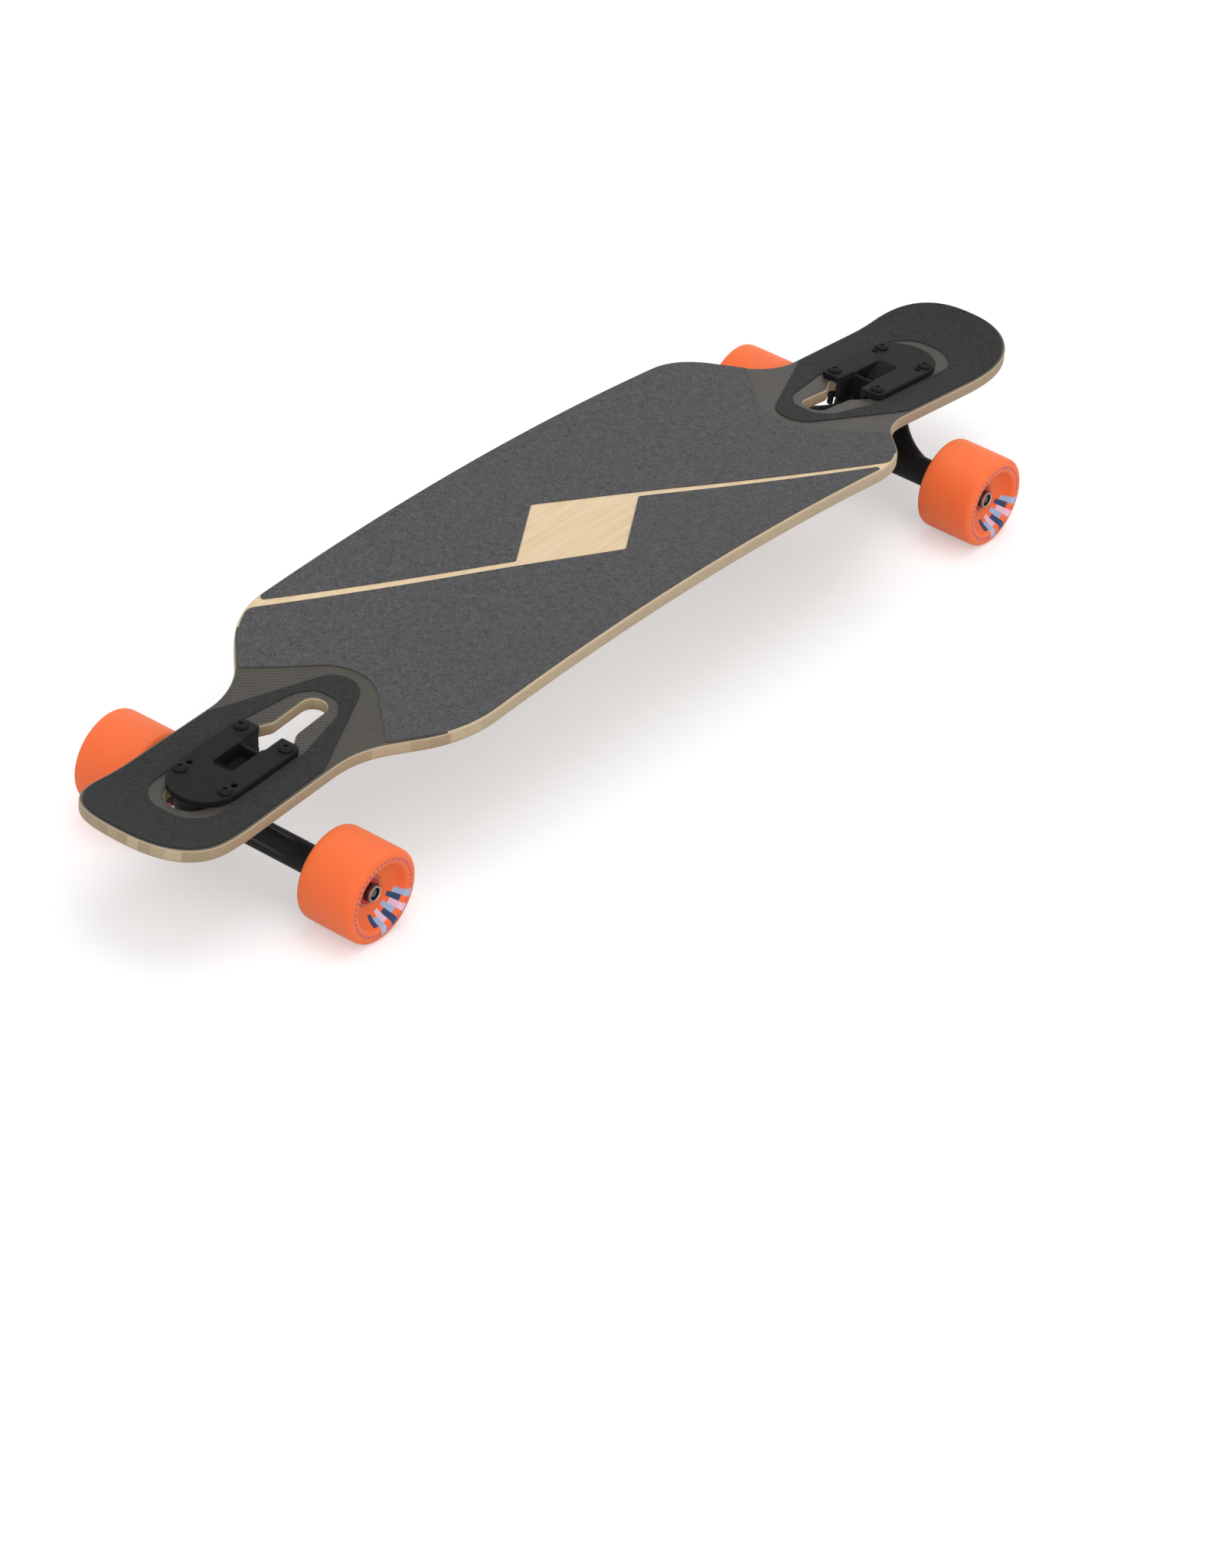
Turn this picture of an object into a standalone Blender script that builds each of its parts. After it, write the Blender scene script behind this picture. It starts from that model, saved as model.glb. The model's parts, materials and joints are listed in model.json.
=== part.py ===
"""A drop-through longboard: deck, grip sheets, two reverse-kingpin trucks and four wheels.

Metres, +Z up, +X towards the nose, +Y towards the left rail. The wheels stand on z = 0.
Each truck is built once in its plate's own frame, then placed at both ends.
"""

import math

import bmesh
import bpy
import numpy
from mathutils import Matrix, Vector

MM = 0.001

# Fits
GAP = 0.3 * MM
BOLT_CLEARANCE = 0.3 * MM
ARC_STEP = math.radians(18)
BEND_TOLERANCE = math.radians(0.4)
STATION_TOLERANCE = 0.002 * MM

# Deck outline, given as corners of one quarter with their rounding
DECK_HALF_LENGTH = 504.9 * MM
DECK_THICKNESS = 10.8 * MM
DECK_EDGE_RADIUS = 2.4 * MM
MOUNT_INSET = 123.1 * MM
MOUNT_X = DECK_HALF_LENGTH - MOUNT_INSET
NECK_REACH = 65.8 * MM
NECK_X = MOUNT_X - NECK_REACH
NECK_HALF_WIDTH = 56 * MM
NECK_RADIUS = 64 * MM
SHOULDER_REACH = 57.6 * MM
SHOULDER_X = NECK_X - SHOULDER_REACH
SHOULDER_RADIUS = 78 * MM
BODY_HALF_WIDTH = 109.4 * MM
END_REACH = 54.4 * MM
END_START_X = DECK_HALF_LENGTH - END_REACH
END_HALF_WIDTH = 57.4 * MM
END_POWER = 2.5
END_STEPS = 9

# Deck bend: camber along its length, concave across it, flat where the trucks bolt on
CAMBER_RADIUS = 2560 * MM
CAMBER_REACH = 46.8 * MM
CAMBER_END_X = MOUNT_X - CAMBER_REACH
CAMBER_BLEND = 10 * MM
MOUNT_START_X = CAMBER_END_X + CAMBER_BLEND
KICK_REACH = 45.2 * MM
MOUNT_END_X = MOUNT_X + KICK_REACH
MOUNT_SLOPE = 0.079
END_KICK_RADIUS = 165 * MM
CONCAVE_START_Y = 20 * MM
CONCAVE_RADIUS = 493 * MM
CAMBER_STATIONS = 7
KICK_STATIONS = 5
CONCAVE_STATIONS = 4

# Truck cutouts in the deck, round the part of each baseplate that drops through them
DROP_HALF_WIDTH = 14 * MM
DROP_INNER_REACH = 38 * MM
DROP_OUTER_REACH = 47 * MM
DROP_SIDE_CLEARANCE = 1.2 * MM
DROP_INNER_CLEARANCE = 3.3 * MM
DROP_OUTER_CLEARANCE = 14.7 * MM
SLOT_REACH = 93.8 * MM
SLOT_START_X = MOUNT_X - SLOT_REACH
SLOT_HALF_WIDTH = 9.7 * MM
SLOT_MOUTH_HALF_WIDTH = 10.1 * MM
CUTOUT_TAPER = 13 * MM
CUTOUT_WIDE_X = MOUNT_X - DROP_INNER_REACH - DROP_INNER_CLEARANCE
CUTOUT_NARROW_X = CUTOUT_WIDE_X - CUTOUT_TAPER
CUTOUT_END_X = MOUNT_X + DROP_OUTER_REACH + DROP_OUTER_CLEARANCE
CUTOUT_SHOULDER_RADIUS = 10 * MM
CUTOUT_BOLT_HALF_WIDTH = DROP_HALF_WIDTH + DROP_SIDE_CLEARANCE
CUTOUT_HALF_WIDTH = CUTOUT_BOLT_HALF_WIDTH + 2.8 * MM
CUTOUT_END_HALF_WIDTH = CUTOUT_BOLT_HALF_WIDTH + 2.4 * MM
CUTOUT_EAR_INSET = 4.7 * MM
CUTOUT_EAR_START_X = CUTOUT_WIDE_X + CUTOUT_EAR_INSET
CUTOUT_BULGE_LENGTH = 22.2 * MM
CUTOUT_EAR_END_X = CUTOUT_END_X - CUTOUT_BULGE_LENGTH
CUTOUT_EAR_RUN = 2.8 * MM
CUTOUT_EAR_RADIUS = 3 * MM

# Grip sheets
GRIP_THICKNESS = 0.9 * MM
GRIP_CORNER_RADIUS = 3 * MM
MAIN_GRIP_INSET = 4.7 * MM
MAIN_GRIP_END_REACH = 9.9 * MM
MAIN_GRIP_END_X = SHOULDER_X - MAIN_GRIP_END_REACH
MAIN_GRIP_END_SLOPE = 1.028
MAIN_GRIP_END_RADIUS = 40 * MM
BAND_SLOPE = 0.6
WINDOW_HALF_HEIGHT = 44.5 * MM
BAND_WIDTH_ACROSS = 7 * MM
RING_GRIP_INSET = 2.8 * MM
RING_GRIP_REACH = 30 * MM
RING_GRIP_START_X = SLOT_START_X - RING_GRIP_REACH
RING_GRIP_SLOPE = 0.447
RING_GRIP_RADIUS = 20 * MM
RING_WINDOW_MARGIN = 6 * MM
RING_WINDOW_START_X = SLOT_START_X - RING_WINDOW_MARGIN
RING_WINDOW_HALF_WIDTH = 29.4 * MM
RING_WINDOW_END_MARGIN = 9.5 * MM
RING_WINDOW_END_X = CUTOUT_END_X + RING_WINDOW_END_MARGIN
RING_WINDOW_CORNER_RADIUS = 26 * MM
RING_WINDOW_NOSE_HALF_WIDTH = 20.3 * MM
RING_WINDOW_NOSE_REACH = 12 * MM
RING_WINDOW_NOSE_X = RING_WINDOW_START_X + RING_WINDOW_NOSE_REACH
RING_WINDOW_NOSE_RADIUS = 17 * MM

# Bolt pattern and bolts
BOLT_SPACING_X = 63.5 * MM
BOLT_SPACING_Y = 41.275 * MM
BOLT_RADIUS = 2.4 * MM
BOLT_HEAD_RADIUS = 5.6 * MM
BOLT_HEAD_HEIGHT = 2.3 * MM
BOLT_SOCKET_WIDTH = 3.2 * MM
BOLT_SOCKET_DEPTH = 1.3 * MM
BOLT_STUB = 6.5 * MM
LOCK_NUT_HEIGHT = 5.4 * MM
LOCK_NUT_WIDTH = 9.0 * MM
LOCK_NUT_FLANGE_RADIUS = 5.8 * MM
LOCK_NUT_FLANGE_HEIGHT = 1.4 * MM

# Baseplate, in the plate frame: origin on the deck's top at the bolt pattern's centre
PLATE_THICKNESS = 5.4 * MM
PLATE_INNER_REACH = 40.3 * MM
PLATE_OUTER_REACH = 56.0 * MM
PLATE_HALF_WIDTH = 28.4 * MM
PLATE_TIP_RADIUS = 6 * MM
NOTCH_HALF_WIDTH = 10 * MM
NOTCH_END = -20.3 * MM
CHANNEL_HALF_WIDTH = 9.4 * MM
CHANNEL_DEPTH = 16 * MM
POCKET_START = -17.6 * MM
POCKET_END = 13.2 * MM
POCKET_HALF_WIDTH = 9 * MM
POCKET_CORNER_RADIUS = 4 * MM
POCKET_DEPTH = 7.5 * MM
SADDLE_DEPTH = 2.6 * MM
SPARE_HOLE_RADIUS = 2.3 * MM
SPARE_HOLE_INSET = 9.5 * MM
DROP_DEPTH = 12.2 * MM
DROP_END_RADIUS = 12 * MM
TOE_TIP_X = -51 * MM
TOE_TIP_DEPTH = 3.5 * MM
TOE_HEEL_X = -38 * MM
TOE_HEEL_DEPTH = 25 * MM
TOE_ROOT_X = -24 * MM
TOE_HALF_WIDTH = 12.5 * MM

# Steering geometry, in the plate frame
STEER_ANGLE = math.radians(50)
RING_CENTRE_X = 2.1 * MM
RING_CENTRE_DROP = 44.8 * MM
AXLE_OFFSET = 17 * MM

# Kingpin stack, measured from the ring's centre along the kingpin
KINGPIN_RADIUS = 4.8 * MM
RING_WALL_HALF = 3.5 * MM
BOARDSIDE_BUSHING_LENGTH = 12.9 * MM
ROADSIDE_BUSHING_LENGTH = 7.4 * MM
BUSHING_RADIUS = 12.9 * MM
BUSHING_WAIST_RADIUS = 12.0 * MM
WASHER_THICKNESS = 1.6 * MM
WASHER_RADIUS = 12.4 * MM
KINGPIN_NUT_HEIGHT = 6.8 * MM
KINGPIN_NUT_WIDTH = 14 * MM
KINGPIN_STUB = 1.5 * MM
BOSS_WALL = 10.3 * MM
BOSS_RADIUS = 14 * MM
BOSS_LENGTH = 30 * MM
KINGPIN_HEAD_HEIGHT = 6 * MM
KINGPIN_HEAD_WIDTH = 14 * MM
HEAD_CAVITY_RADIUS = 9 * MM

# Hanger
HANGER_HALF_LENGTH = 90.5 * MM
HANGER_RADIUS = 10.8 * MM
SPEED_RING_RADIUS = 5.8 * MM
SPEED_RING_HEIGHT = 0.8 * MM
RING_RADIUS = 17.5 * MM
RING_HALF_HEIGHT = 6.5 * MM
SEAT_RADIUS = 13.4 * MM
KINGPIN_HOLE_RADIUS = 6.8 * MM
WEB_HALF_THICKNESS = 6 * MM
WEB_FLARE_Y = 62 * MM
WEB_FLARE_RADIUS = 24 * MM
WEB_ROOT_HALF_WIDTH = 28 * MM
WEB_TIP_X = 36 * MM
WEB_TIP_HALF_WIDTH = 9 * MM
WEB_TIP_RADIUS = 3 * MM
WEB_WINDOW_START = 19 * MM
WEB_WINDOW_END = 33 * MM
WEB_WINDOW_HALF_WIDTH = 6.6 * MM
WEB_WINDOW_RADIUS = 1.5 * MM

# Pivot, measured from the ring's centre along the steering axis
PIVOT_REACH = 46 * MM
PIVOT_RADIUS = 6.5 * MM
PIVOT_ROOT_RADIUS = 8.4 * MM
PIVOT_ROOT_X = 33.5 * MM
PIVOT_NECK_X = 37.4 * MM
PIVOT_CUP_WALL = 2.2 * MM
PIVOT_CUP_LENGTH = 10.6 * MM
PIVOT_HOUSING_RADIUS = 12 * MM
PIVOT_HOUSING_LENGTH = 17.5 * MM

# Axle and wheels
AXLE_RADIUS = 4.0 * MM
AXLE_NUT_HEIGHT = 5.5 * MM
AXLE_NUT_WIDTH = 13 * MM
BEARING_RADIUS = 11 * MM
BEARING_WIDTH = 7 * MM
BEARING_SHIELD_DEPTH = 0.4 * MM
BEARING_RACE = 1.6 * MM
SPACER_LENGTH = 10 * MM
WHEEL_TRACK = HANGER_HALF_LENGTH + SPEED_RING_HEIGHT + GAP + BEARING_WIDTH + SPACER_LENGTH / 2
AXLE_NUT_LOW = SPACER_LENGTH / 2 + BEARING_WIDTH + GAP
AXLE_END_RECESS = 1.5 * MM
AXLE_HALF_LENGTH = WHEEL_TRACK + AXLE_NUT_LOW + AXLE_NUT_HEIGHT - AXLE_END_RECESS
HUB_SHOULDER_RADIUS = 8.6 * MM
WHEEL_RADIUS = 36.5 * MM
WHEEL_WIDTH = 49.3 * MM
WHEEL_EDGE_RADIUS = 4.2 * MM
WHEEL_FACETS = 24
OUTER_MOUTH_RADIUS = 25.5 * MM
INNER_MOUTH_RADIUS = 28.5 * MM
MOUTH_ROUNDING = 1.5 * MM
HUB_RADIUS = 14 * MM
HUB_FACE_MARGIN = 0.6 * MM


def clear_scene():
    for thing in list(bpy.data.objects):
        bpy.data.objects.remove(thing)


def new_collection(name):
    made = bpy.data.collections.new(name)
    bpy.context.scene.collection.children.link(made)
    return made


clear_scene()
BOARD = new_collection("longboard")
WORKSHOP = new_collection("workshop")


# Shape helpers

def rounded(corners, inset=0.0):
    """Points of a closed outline from (x, y, radius) corners, counter-clockwise, moved inwards by inset."""
    count = len(corners)
    moved = []
    for index in range(count):
        before = Vector(corners[index - 1][:2])
        here = Vector(corners[index][:2])
        after = Vector(corners[(index + 1) % count][:2])
        arriving = (here - before).normalized()
        leaving = (after - here).normalized()
        turn = math.atan2(arriving.cross(leaving), arriving.dot(leaving))
        inwards = Vector((-arriving.y, arriving.x))
        slide = inset * math.tan(turn / 2)
        radius = corners[index][2]
        if radius:
            radius = radius - inset if turn > 0 else radius + inset
        moved.append((here + inwards * inset - arriving * slide, radius))
    points = []
    for index in range(count):
        before = moved[index - 1][0]
        here, radius = moved[index]
        after = moved[(index + 1) % count][0]
        arriving = (here - before).normalized()
        leaving = (after - here).normalized()
        turn = math.atan2(arriving.cross(leaving), arriving.dot(leaving))
        if not radius or abs(turn) < ARC_STEP / 10:
            points.append(here)
            continue
        side = Vector((-arriving.y, arriving.x)) * math.copysign(radius, turn)
        start = here - arriving * radius * math.tan(abs(turn) / 2)
        steps = max(2, math.ceil(abs(turn) / ARC_STEP))
        for step in range(steps + 1):
            swing = Matrix.Rotation(turn * step / steps, 2)
            points.append(start + side - swing @ side)
    return points


def both_sides(half):
    """A closed outline from the corners of its +Y half, listed from +X round to -X."""
    return half + [(x, -y, radius) for x, y, radius in reversed(half)]


def both_ends(quarter):
    """A closed outline from the corners of its +X +Y quarter, listed from the nose round to the rail."""
    half = quarter + [(-x, y, radius) for x, y, radius in reversed(quarter)]
    return both_sides(half)


def regular(sides, across_flats):
    radius = across_flats / 2 / math.cos(math.pi / sides)
    turns = [2 * math.pi * (index + 0.5) / sides for index in range(sides)]
    return [Vector((radius * math.cos(turn), radius * math.sin(turn))) for turn in turns]


def linked(name, data, matrix=None):
    made = bpy.data.objects.new(name, data)
    WORKSHOP.objects.link(made)
    if matrix is not None:
        made.matrix_world = matrix
    return made


def baked(shape):
    """The object's evaluated mesh as a new workshop object with its placement applied, and the old one removed."""
    bpy.context.view_layer.update()
    graph = bpy.context.evaluated_depsgraph_get()
    mesh = bpy.data.meshes.new_from_object(shape.evaluated_get(graph))
    mesh.transform(shape.matrix_world)
    working = bmesh.new()
    working.from_mesh(mesh)
    bmesh.ops.remove_doubles(working, verts=working.verts, dist=0.001 * MM)
    working.to_mesh(mesh)
    working.free()
    bpy.data.objects.remove(shape)
    return linked("shape", mesh)


def flatten_faces(working):
    """Joins the neighbouring faces of a mesh that lie in one plane, up to any seam."""
    bmesh.ops.dissolve_limit(
        working,
        angle_limit=BEND_TOLERANCE,
        verts=working.verts[:],
        edges=working.edges[:],
        delimit={"SEAM"},
    )


def slab(loops, low, high, matrix=None, edge_radius=0.0):
    """A flat outline, with any holes, between two heights."""
    curve = bpy.data.curves.new("slab", "CURVE")
    curve.dimensions = "2D"
    curve.fill_mode = "BOTH"
    curve.extrude = (high - low) / 2 - edge_radius
    curve.bevel_depth = edge_radius
    curve.bevel_resolution = 0
    curve.offset = -edge_radius
    for loop in loops:
        spline = curve.splines.new("POLY")
        spline.points.add(len(loop) - 1)
        for place, point in zip(spline.points, loop):
            place.co = (point[0], point[1], 0, 1)
        spline.use_cyclic_u = True
    lift = Matrix.Translation((0, 0, (low + high) / 2))
    shape = baked(linked("slab", curve, (matrix or Matrix()) @ lift))
    working = bmesh.new()
    working.from_mesh(shape.data)
    flatten_faces(working)
    bmesh.ops.triangulate(working, faces=[face for face in working.faces if len(face.verts) > 4])
    working.to_mesh(shape.data)
    working.free()
    return shape


def rod(radius, low, high, matrix=None, sides=20, top_radius=None):
    """A round rod or cone along Z between two heights."""
    working = bmesh.new()
    bmesh.ops.create_cone(
        working,
        cap_ends=True,
        segments=sides,
        radius1=radius,
        radius2=radius if top_radius is None else top_radius,
        depth=high - low,
    )
    mesh = bpy.data.meshes.new("rod")
    working.to_mesh(mesh)
    working.free()
    lift = Matrix.Translation((0, 0, (low + high) / 2))
    return baked(linked("rod", mesh, (matrix or Matrix()) @ lift))


def turned(profile, matrix=None, sides=16):
    """A profile of (radius, height) points, listed up the axis or round a ring, turned about Z."""
    mesh = bpy.data.meshes.new("profile")
    edges = [(index, index + 1) for index in range(len(profile) - 1)]
    if min(radius for radius, _ in profile) > 0:
        edges.append((len(profile) - 1, 0))
    mesh.from_pydata([(radius, 0, height) for radius, height in profile], edges, [])
    shape = linked("turned", mesh, matrix)
    screw = shape.modifiers.new("turn", "SCREW")
    screw.steps = sides
    screw.render_steps = sides
    screw.use_merge_vertices = True
    screw.merge_threshold = 0.01 * MM
    shape = baked(shape)
    working = bmesh.new()
    working.from_mesh(shape.data)
    bmesh.ops.recalc_face_normals(working, faces=working.faces)
    working.to_mesh(shape.data)
    working.free()
    return shape


def combined(base, operation, tools):
    """The base joined with, or cut by, each tool in turn."""
    for tool in tools:
        step = base.modifiers.new("combine", "BOOLEAN")
        step.operation = operation
        step.solver = "EXACT"
        step.object = tool
    base = baked(base)
    for tool in tools:
        bpy.data.objects.remove(tool)
    return base


def along(axis, place=(0, 0, 0)):
    """A frame at a place whose Z axis points along the given world axis."""
    turn = Vector((0, 0, 1)).rotation_difference(Vector(axis)).to_matrix().to_4x4()
    return Matrix.Translation(place) @ turn


# Materials

def material(name, colour, roughness, metallic):
    made = bpy.data.materials.new(name)
    made.use_nodes = True
    shader = made.node_tree.nodes["Principled BSDF"]
    shader.inputs["Base Color"].default_value = (*colour, 1)
    shader.inputs["Roughness"].default_value = roughness
    shader.inputs["Metallic"].default_value = metallic
    made.diffuse_color = (*colour, 1)
    return made


MAPLE = material("maple", (0.62, 0.44, 0.26), 0.45, 0)
GRIT = material("grit", (0.06, 0.06, 0.065), 0.95, 0)
BLACK_CAST = material("black_cast", (0.025, 0.025, 0.025), 0.5, 0.3)
BLACK_STEEL = material("black_steel", (0.03, 0.03, 0.03), 0.4, 0.8)
BRIGHT_STEEL = material("bright_steel", (0.6, 0.6, 0.6), 0.25, 1)
GOLD_STEEL = material("gold_steel", (0.78, 0.58, 0.25), 0.25, 1)
BLACK_URETHANE = material("black_urethane", (0.02, 0.02, 0.02), 0.55, 0)
ORANGE_URETHANE = material("orange_urethane", (0.9, 0.2, 0.05), 0.4, 0)
BLACK_PLASTIC = material("black_plastic", (0.03, 0.03, 0.03), 0.6, 0)


# Deck surface

CAMBER_PART = numpy.linspace(0, CAMBER_END_X, CAMBER_STATIONS + 1)
KICK_PART = numpy.linspace(MOUNT_END_X, DECK_HALF_LENGTH, KICK_STATIONS + 1)
LENGTH_STATIONS = [*CAMBER_PART, MOUNT_START_X, *KICK_PART]
WIDTH_STATIONS = list(numpy.linspace(CONCAVE_START_Y, BODY_HALF_WIDTH, CONCAVE_STATIONS + 1))


def camber(x):
    """Height of the deck's centre line at a distance from the middle, against the middle."""
    blend = MOUNT_START_X - CAMBER_END_X
    steep = CAMBER_END_X / CAMBER_RADIUS
    height = -min(x, CAMBER_END_X) ** 2 / (2 * CAMBER_RADIUS)
    inside = min(max(x - CAMBER_END_X, 0), blend)
    height -= steep * inside + (MOUNT_SLOPE - steep) * inside**2 / (2 * blend)
    height -= MOUNT_SLOPE * max(x - MOUNT_START_X, 0)
    return height + max(x - MOUNT_END_X, 0) ** 2 / (2 * END_KICK_RADIUS)


def concave(y):
    """Rise of the deck's surface towards its rails."""
    return max(y - CONCAVE_START_Y, 0) ** 2 / (2 * CONCAVE_RADIUS)


STATION_CAMBERS = [camber(x) for x in LENGTH_STATIONS]
STATION_CONCAVES = [concave(y) for y in WIDTH_STATIONS]


def surface_height(x, y):
    """The bent surface, straight between its stations, so that laid sheets stay parallel to it."""
    length_part = numpy.interp(abs(x), LENGTH_STATIONS, STATION_CAMBERS)
    return float(length_part + numpy.interp(abs(y), WIDTH_STATIONS, STATION_CONCAVES))


# Truck frames. The deck's height follows from the wheels and the trucks under it.

STEER_IN_PLATE = Matrix.Translation((RING_CENTRE_X, 0, -RING_CENTRE_DROP)) @ Matrix.Rotation(-STEER_ANGLE, 4, "Y")
PLATE_TILT = Matrix.Rotation(math.atan(MOUNT_SLOPE), 4, "Y")
AXLE_IN_STEER = Vector((-AXLE_OFFSET, 0, 0))
MOUNT_Z = WHEEL_RADIUS - (PLATE_TILT @ STEER_IN_PLATE @ AXLE_IN_STEER).z
DECK_TOP_Z = MOUNT_Z - surface_height(MOUNT_X, 0)
PLATE_FRAME = Matrix.Translation((MOUNT_X, 0, MOUNT_Z)) @ PLATE_TILT
STEER_FRAME = PLATE_FRAME @ STEER_IN_PLATE
AXLE_CENTRE = STEER_FRAME @ AXLE_IN_STEER
ENDS = {"nose": Matrix(), "tail": Matrix.Rotation(math.pi, 4, "Z")}


# Placing finished pieces

def empty(name, matrix, parent=None):
    made = bpy.data.objects.new(name, None)
    BOARD.objects.link(made)
    made.parent = parent
    made.matrix_world = matrix
    return made


def placed(name, shape, look, matrix, parent=None):
    """Makes the finished object from a shape modelled in the frame that the matrix gives."""
    mesh = shape.data.copy()
    mesh.materials.clear()
    mesh.materials.append(look)
    made = bpy.data.objects.new(name, mesh)
    BOARD.objects.link(made)
    made.parent = parent
    made.matrix_world = matrix
    mesh.shade_smooth()
    mesh.set_sharp_from_angle(angle=math.radians(30))
    return made


def discard(*shapes):
    for shape in shapes:
        bpy.data.objects.remove(shape)


# Deck: pressed laminate, cut out for the trucks and drilled for their bolts

def deck_corners():
    quarter = []
    for step in range(END_STEPS + 1):
        turn = math.pi / 2 * step / END_STEPS
        x = END_START_X + (DECK_HALF_LENGTH - END_START_X) * math.cos(turn) ** (2 / END_POWER)
        y = END_HALF_WIDTH * math.sin(turn) ** (2 / END_POWER)
        quarter.append((x, y, 0))
    quarter.append((NECK_X, NECK_HALF_WIDTH, NECK_RADIUS))
    quarter.append((SHOULDER_X, BODY_HALF_WIDTH, SHOULDER_RADIUS))
    return both_ends(quarter)


def tip_merged(points):
    """The outline without the doubled points where its two halves meet."""
    kept = []
    for point in points:
        if not kept or (point - kept[-1]).length > GAP:
            kept.append(point)
    if (kept[0] - kept[-1]).length < GAP:
        kept.pop()
    return kept


def cutout_corners(end):
    """The truck cutout of one end, narrower beside the bolts: end is +1 at the nose and -1 at the tail."""
    half = [
        (CUTOUT_END_X, CUTOUT_END_HALF_WIDTH, CUTOUT_END_HALF_WIDTH * 0.99),
        (CUTOUT_EAR_END_X, CUTOUT_END_HALF_WIDTH, CUTOUT_EAR_RADIUS),
        (CUTOUT_EAR_END_X - CUTOUT_EAR_RUN, CUTOUT_BOLT_HALF_WIDTH, CUTOUT_EAR_RADIUS),
        (CUTOUT_EAR_START_X + CUTOUT_EAR_RUN, CUTOUT_BOLT_HALF_WIDTH, CUTOUT_EAR_RADIUS),
        (CUTOUT_EAR_START_X, CUTOUT_HALF_WIDTH, CUTOUT_EAR_RADIUS),
        (CUTOUT_WIDE_X, CUTOUT_HALF_WIDTH, CUTOUT_SHOULDER_RADIUS),
        (CUTOUT_NARROW_X, SLOT_MOUTH_HALF_WIDTH, CUTOUT_SHOULDER_RADIUS),
        (SLOT_START_X, SLOT_HALF_WIDTH, SLOT_HALF_WIDTH * 0.99),
    ]
    return [(end * x, end * y, radius) for x, y, radius in both_sides(half)]


def at_stations(shape):
    """Gives a flat shape edges at every station of the deck's surface."""
    working = bmesh.new()
    working.from_mesh(shape.data)
    bmesh.ops.triangulate(working, faces=working.faces[:])
    cuts = [(x, Vector((1, 0, 0))) for x in LENGTH_STATIONS[:-1]]
    cuts += [(y, Vector((0, 1, 0))) for y in WIDTH_STATIONS[:-1]]
    for distance, normal in cuts:
        for sign in (1, -1):
            everything = working.verts[:] + working.edges[:] + working.faces[:]
            bmesh.ops.bisect_plane(
                working,
                geom=everything,
                dist=0.001 * MM,
                plane_co=normal * distance * sign,
                plane_no=normal,
            )
    working.to_mesh(shape.data)
    working.free()
    return shape


def station_of(distance, stations):
    """The station at a signed distance from the middle, or None between two stations."""
    for index, station in enumerate(stations):
        if abs(abs(distance) - station) < STATION_TOLERANCE:
            return math.copysign(index, distance)
    return None


def on_station(edge):
    first, second = (vertex.co for vertex in edge.verts)
    for axis, stations in ((0, LENGTH_STATIONS), (1, WIDTH_STATIONS)):
        station = station_of(first[axis], stations)
        if station is not None and station == station_of(second[axis], stations):
            return True
    return False


def bent(shape):
    """Lays a flat shape that has its stations over the deck's bend."""
    working = bmesh.new()
    working.from_mesh(shape.data)
    for edge in working.edges:
        edge.seam = on_station(edge)
    for vertex in working.verts:
        vertex.co.z += surface_height(vertex.co.x, vertex.co.y)
    flatten_faces(working)
    working.to_mesh(shape.data)
    working.free()
    return shape


def bolt_places():
    """The four bolt positions in the plate frame, by name."""
    return {
        f"{along_name}_{side_name}": Vector((x * BOLT_SPACING_X / 2, y * BOLT_SPACING_Y / 2, 0))
        for along_name, x in (("inner", -1), ("outer", 1))
        for side_name, y in (("left", 1), ("right", -1))
    }


def make_deck():
    outline = tip_merged(rounded(deck_corners()))
    holes = [rounded(cutout_corners(end)) for end in (1, -1)]
    shape = at_stations(slab([outline] + holes, -DECK_THICKNESS, 0, edge_radius=DECK_EDGE_RADIUS))
    drills = []
    for turn in ENDS.values():
        flat_plate = turn @ Matrix.Translation((MOUNT_X, 0, 0)) @ PLATE_TILT
        for place in bolt_places().values():
            centre = flat_plate @ place
            frame = Matrix.Translation((centre.x, centre.y, 0)) @ turn @ PLATE_TILT
            reach = 2 * DECK_THICKNESS
            drills.append(rod(BOLT_RADIUS + BOLT_CLEARANCE, -reach, reach, frame, sides=12))
    shape = bent(combined(shape, "DIFFERENCE", drills))
    placed("deck", shape, MAPLE, Matrix.Translation((0, 0, DECK_TOP_Z)))
    discard(shape)


# Grip: two main sheets split by a bare band, and a ring round each truck cutout

def crossing(first, second, slope, place):
    """Where the line through two points meets the line of a slope through a place."""
    run = second - first
    share = (place.y - first.y + slope * (first.x - place.x)) / (run.y - slope * run.x)
    return first + run * share


def shoulder_line(inset):
    """Two points on the straight edge between shoulder and neck, moved inwards."""
    shoulder = Vector((SHOULDER_X, BODY_HALF_WIDTH))
    neck = Vector((NECK_X, NECK_HALF_WIDTH))
    run = (neck - shoulder).normalized()
    inwards = Vector((run.y, -run.x)) * inset
    return shoulder + inwards, neck + inwards


def main_grip_corners():
    """Both main sheets as one outline, before the band is cut out."""
    first, second = shoulder_line(MAIN_GRIP_INSET)
    notch_y = MAIN_GRIP_END_RADIUS * math.tan((math.pi / 2 - math.atan(MAIN_GRIP_END_SLOPE)) / 2)
    notch = Vector((MAIN_GRIP_END_X, notch_y))
    tip = crossing(first, second, MAIN_GRIP_END_SLOPE, notch)
    rail_y = BODY_HALF_WIDTH - MAIN_GRIP_INSET
    rail = crossing(first, second, 0, Vector((0, rail_y)))
    quarter = [
        (notch.x, notch.y, MAIN_GRIP_END_RADIUS * 0.99),
        (tip.x, tip.y, GRIP_CORNER_RADIUS),
        (rail.x, rail_y, SHOULDER_RADIUS - MAIN_GRIP_INSET),
    ]
    return both_ends(quarter)


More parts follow.
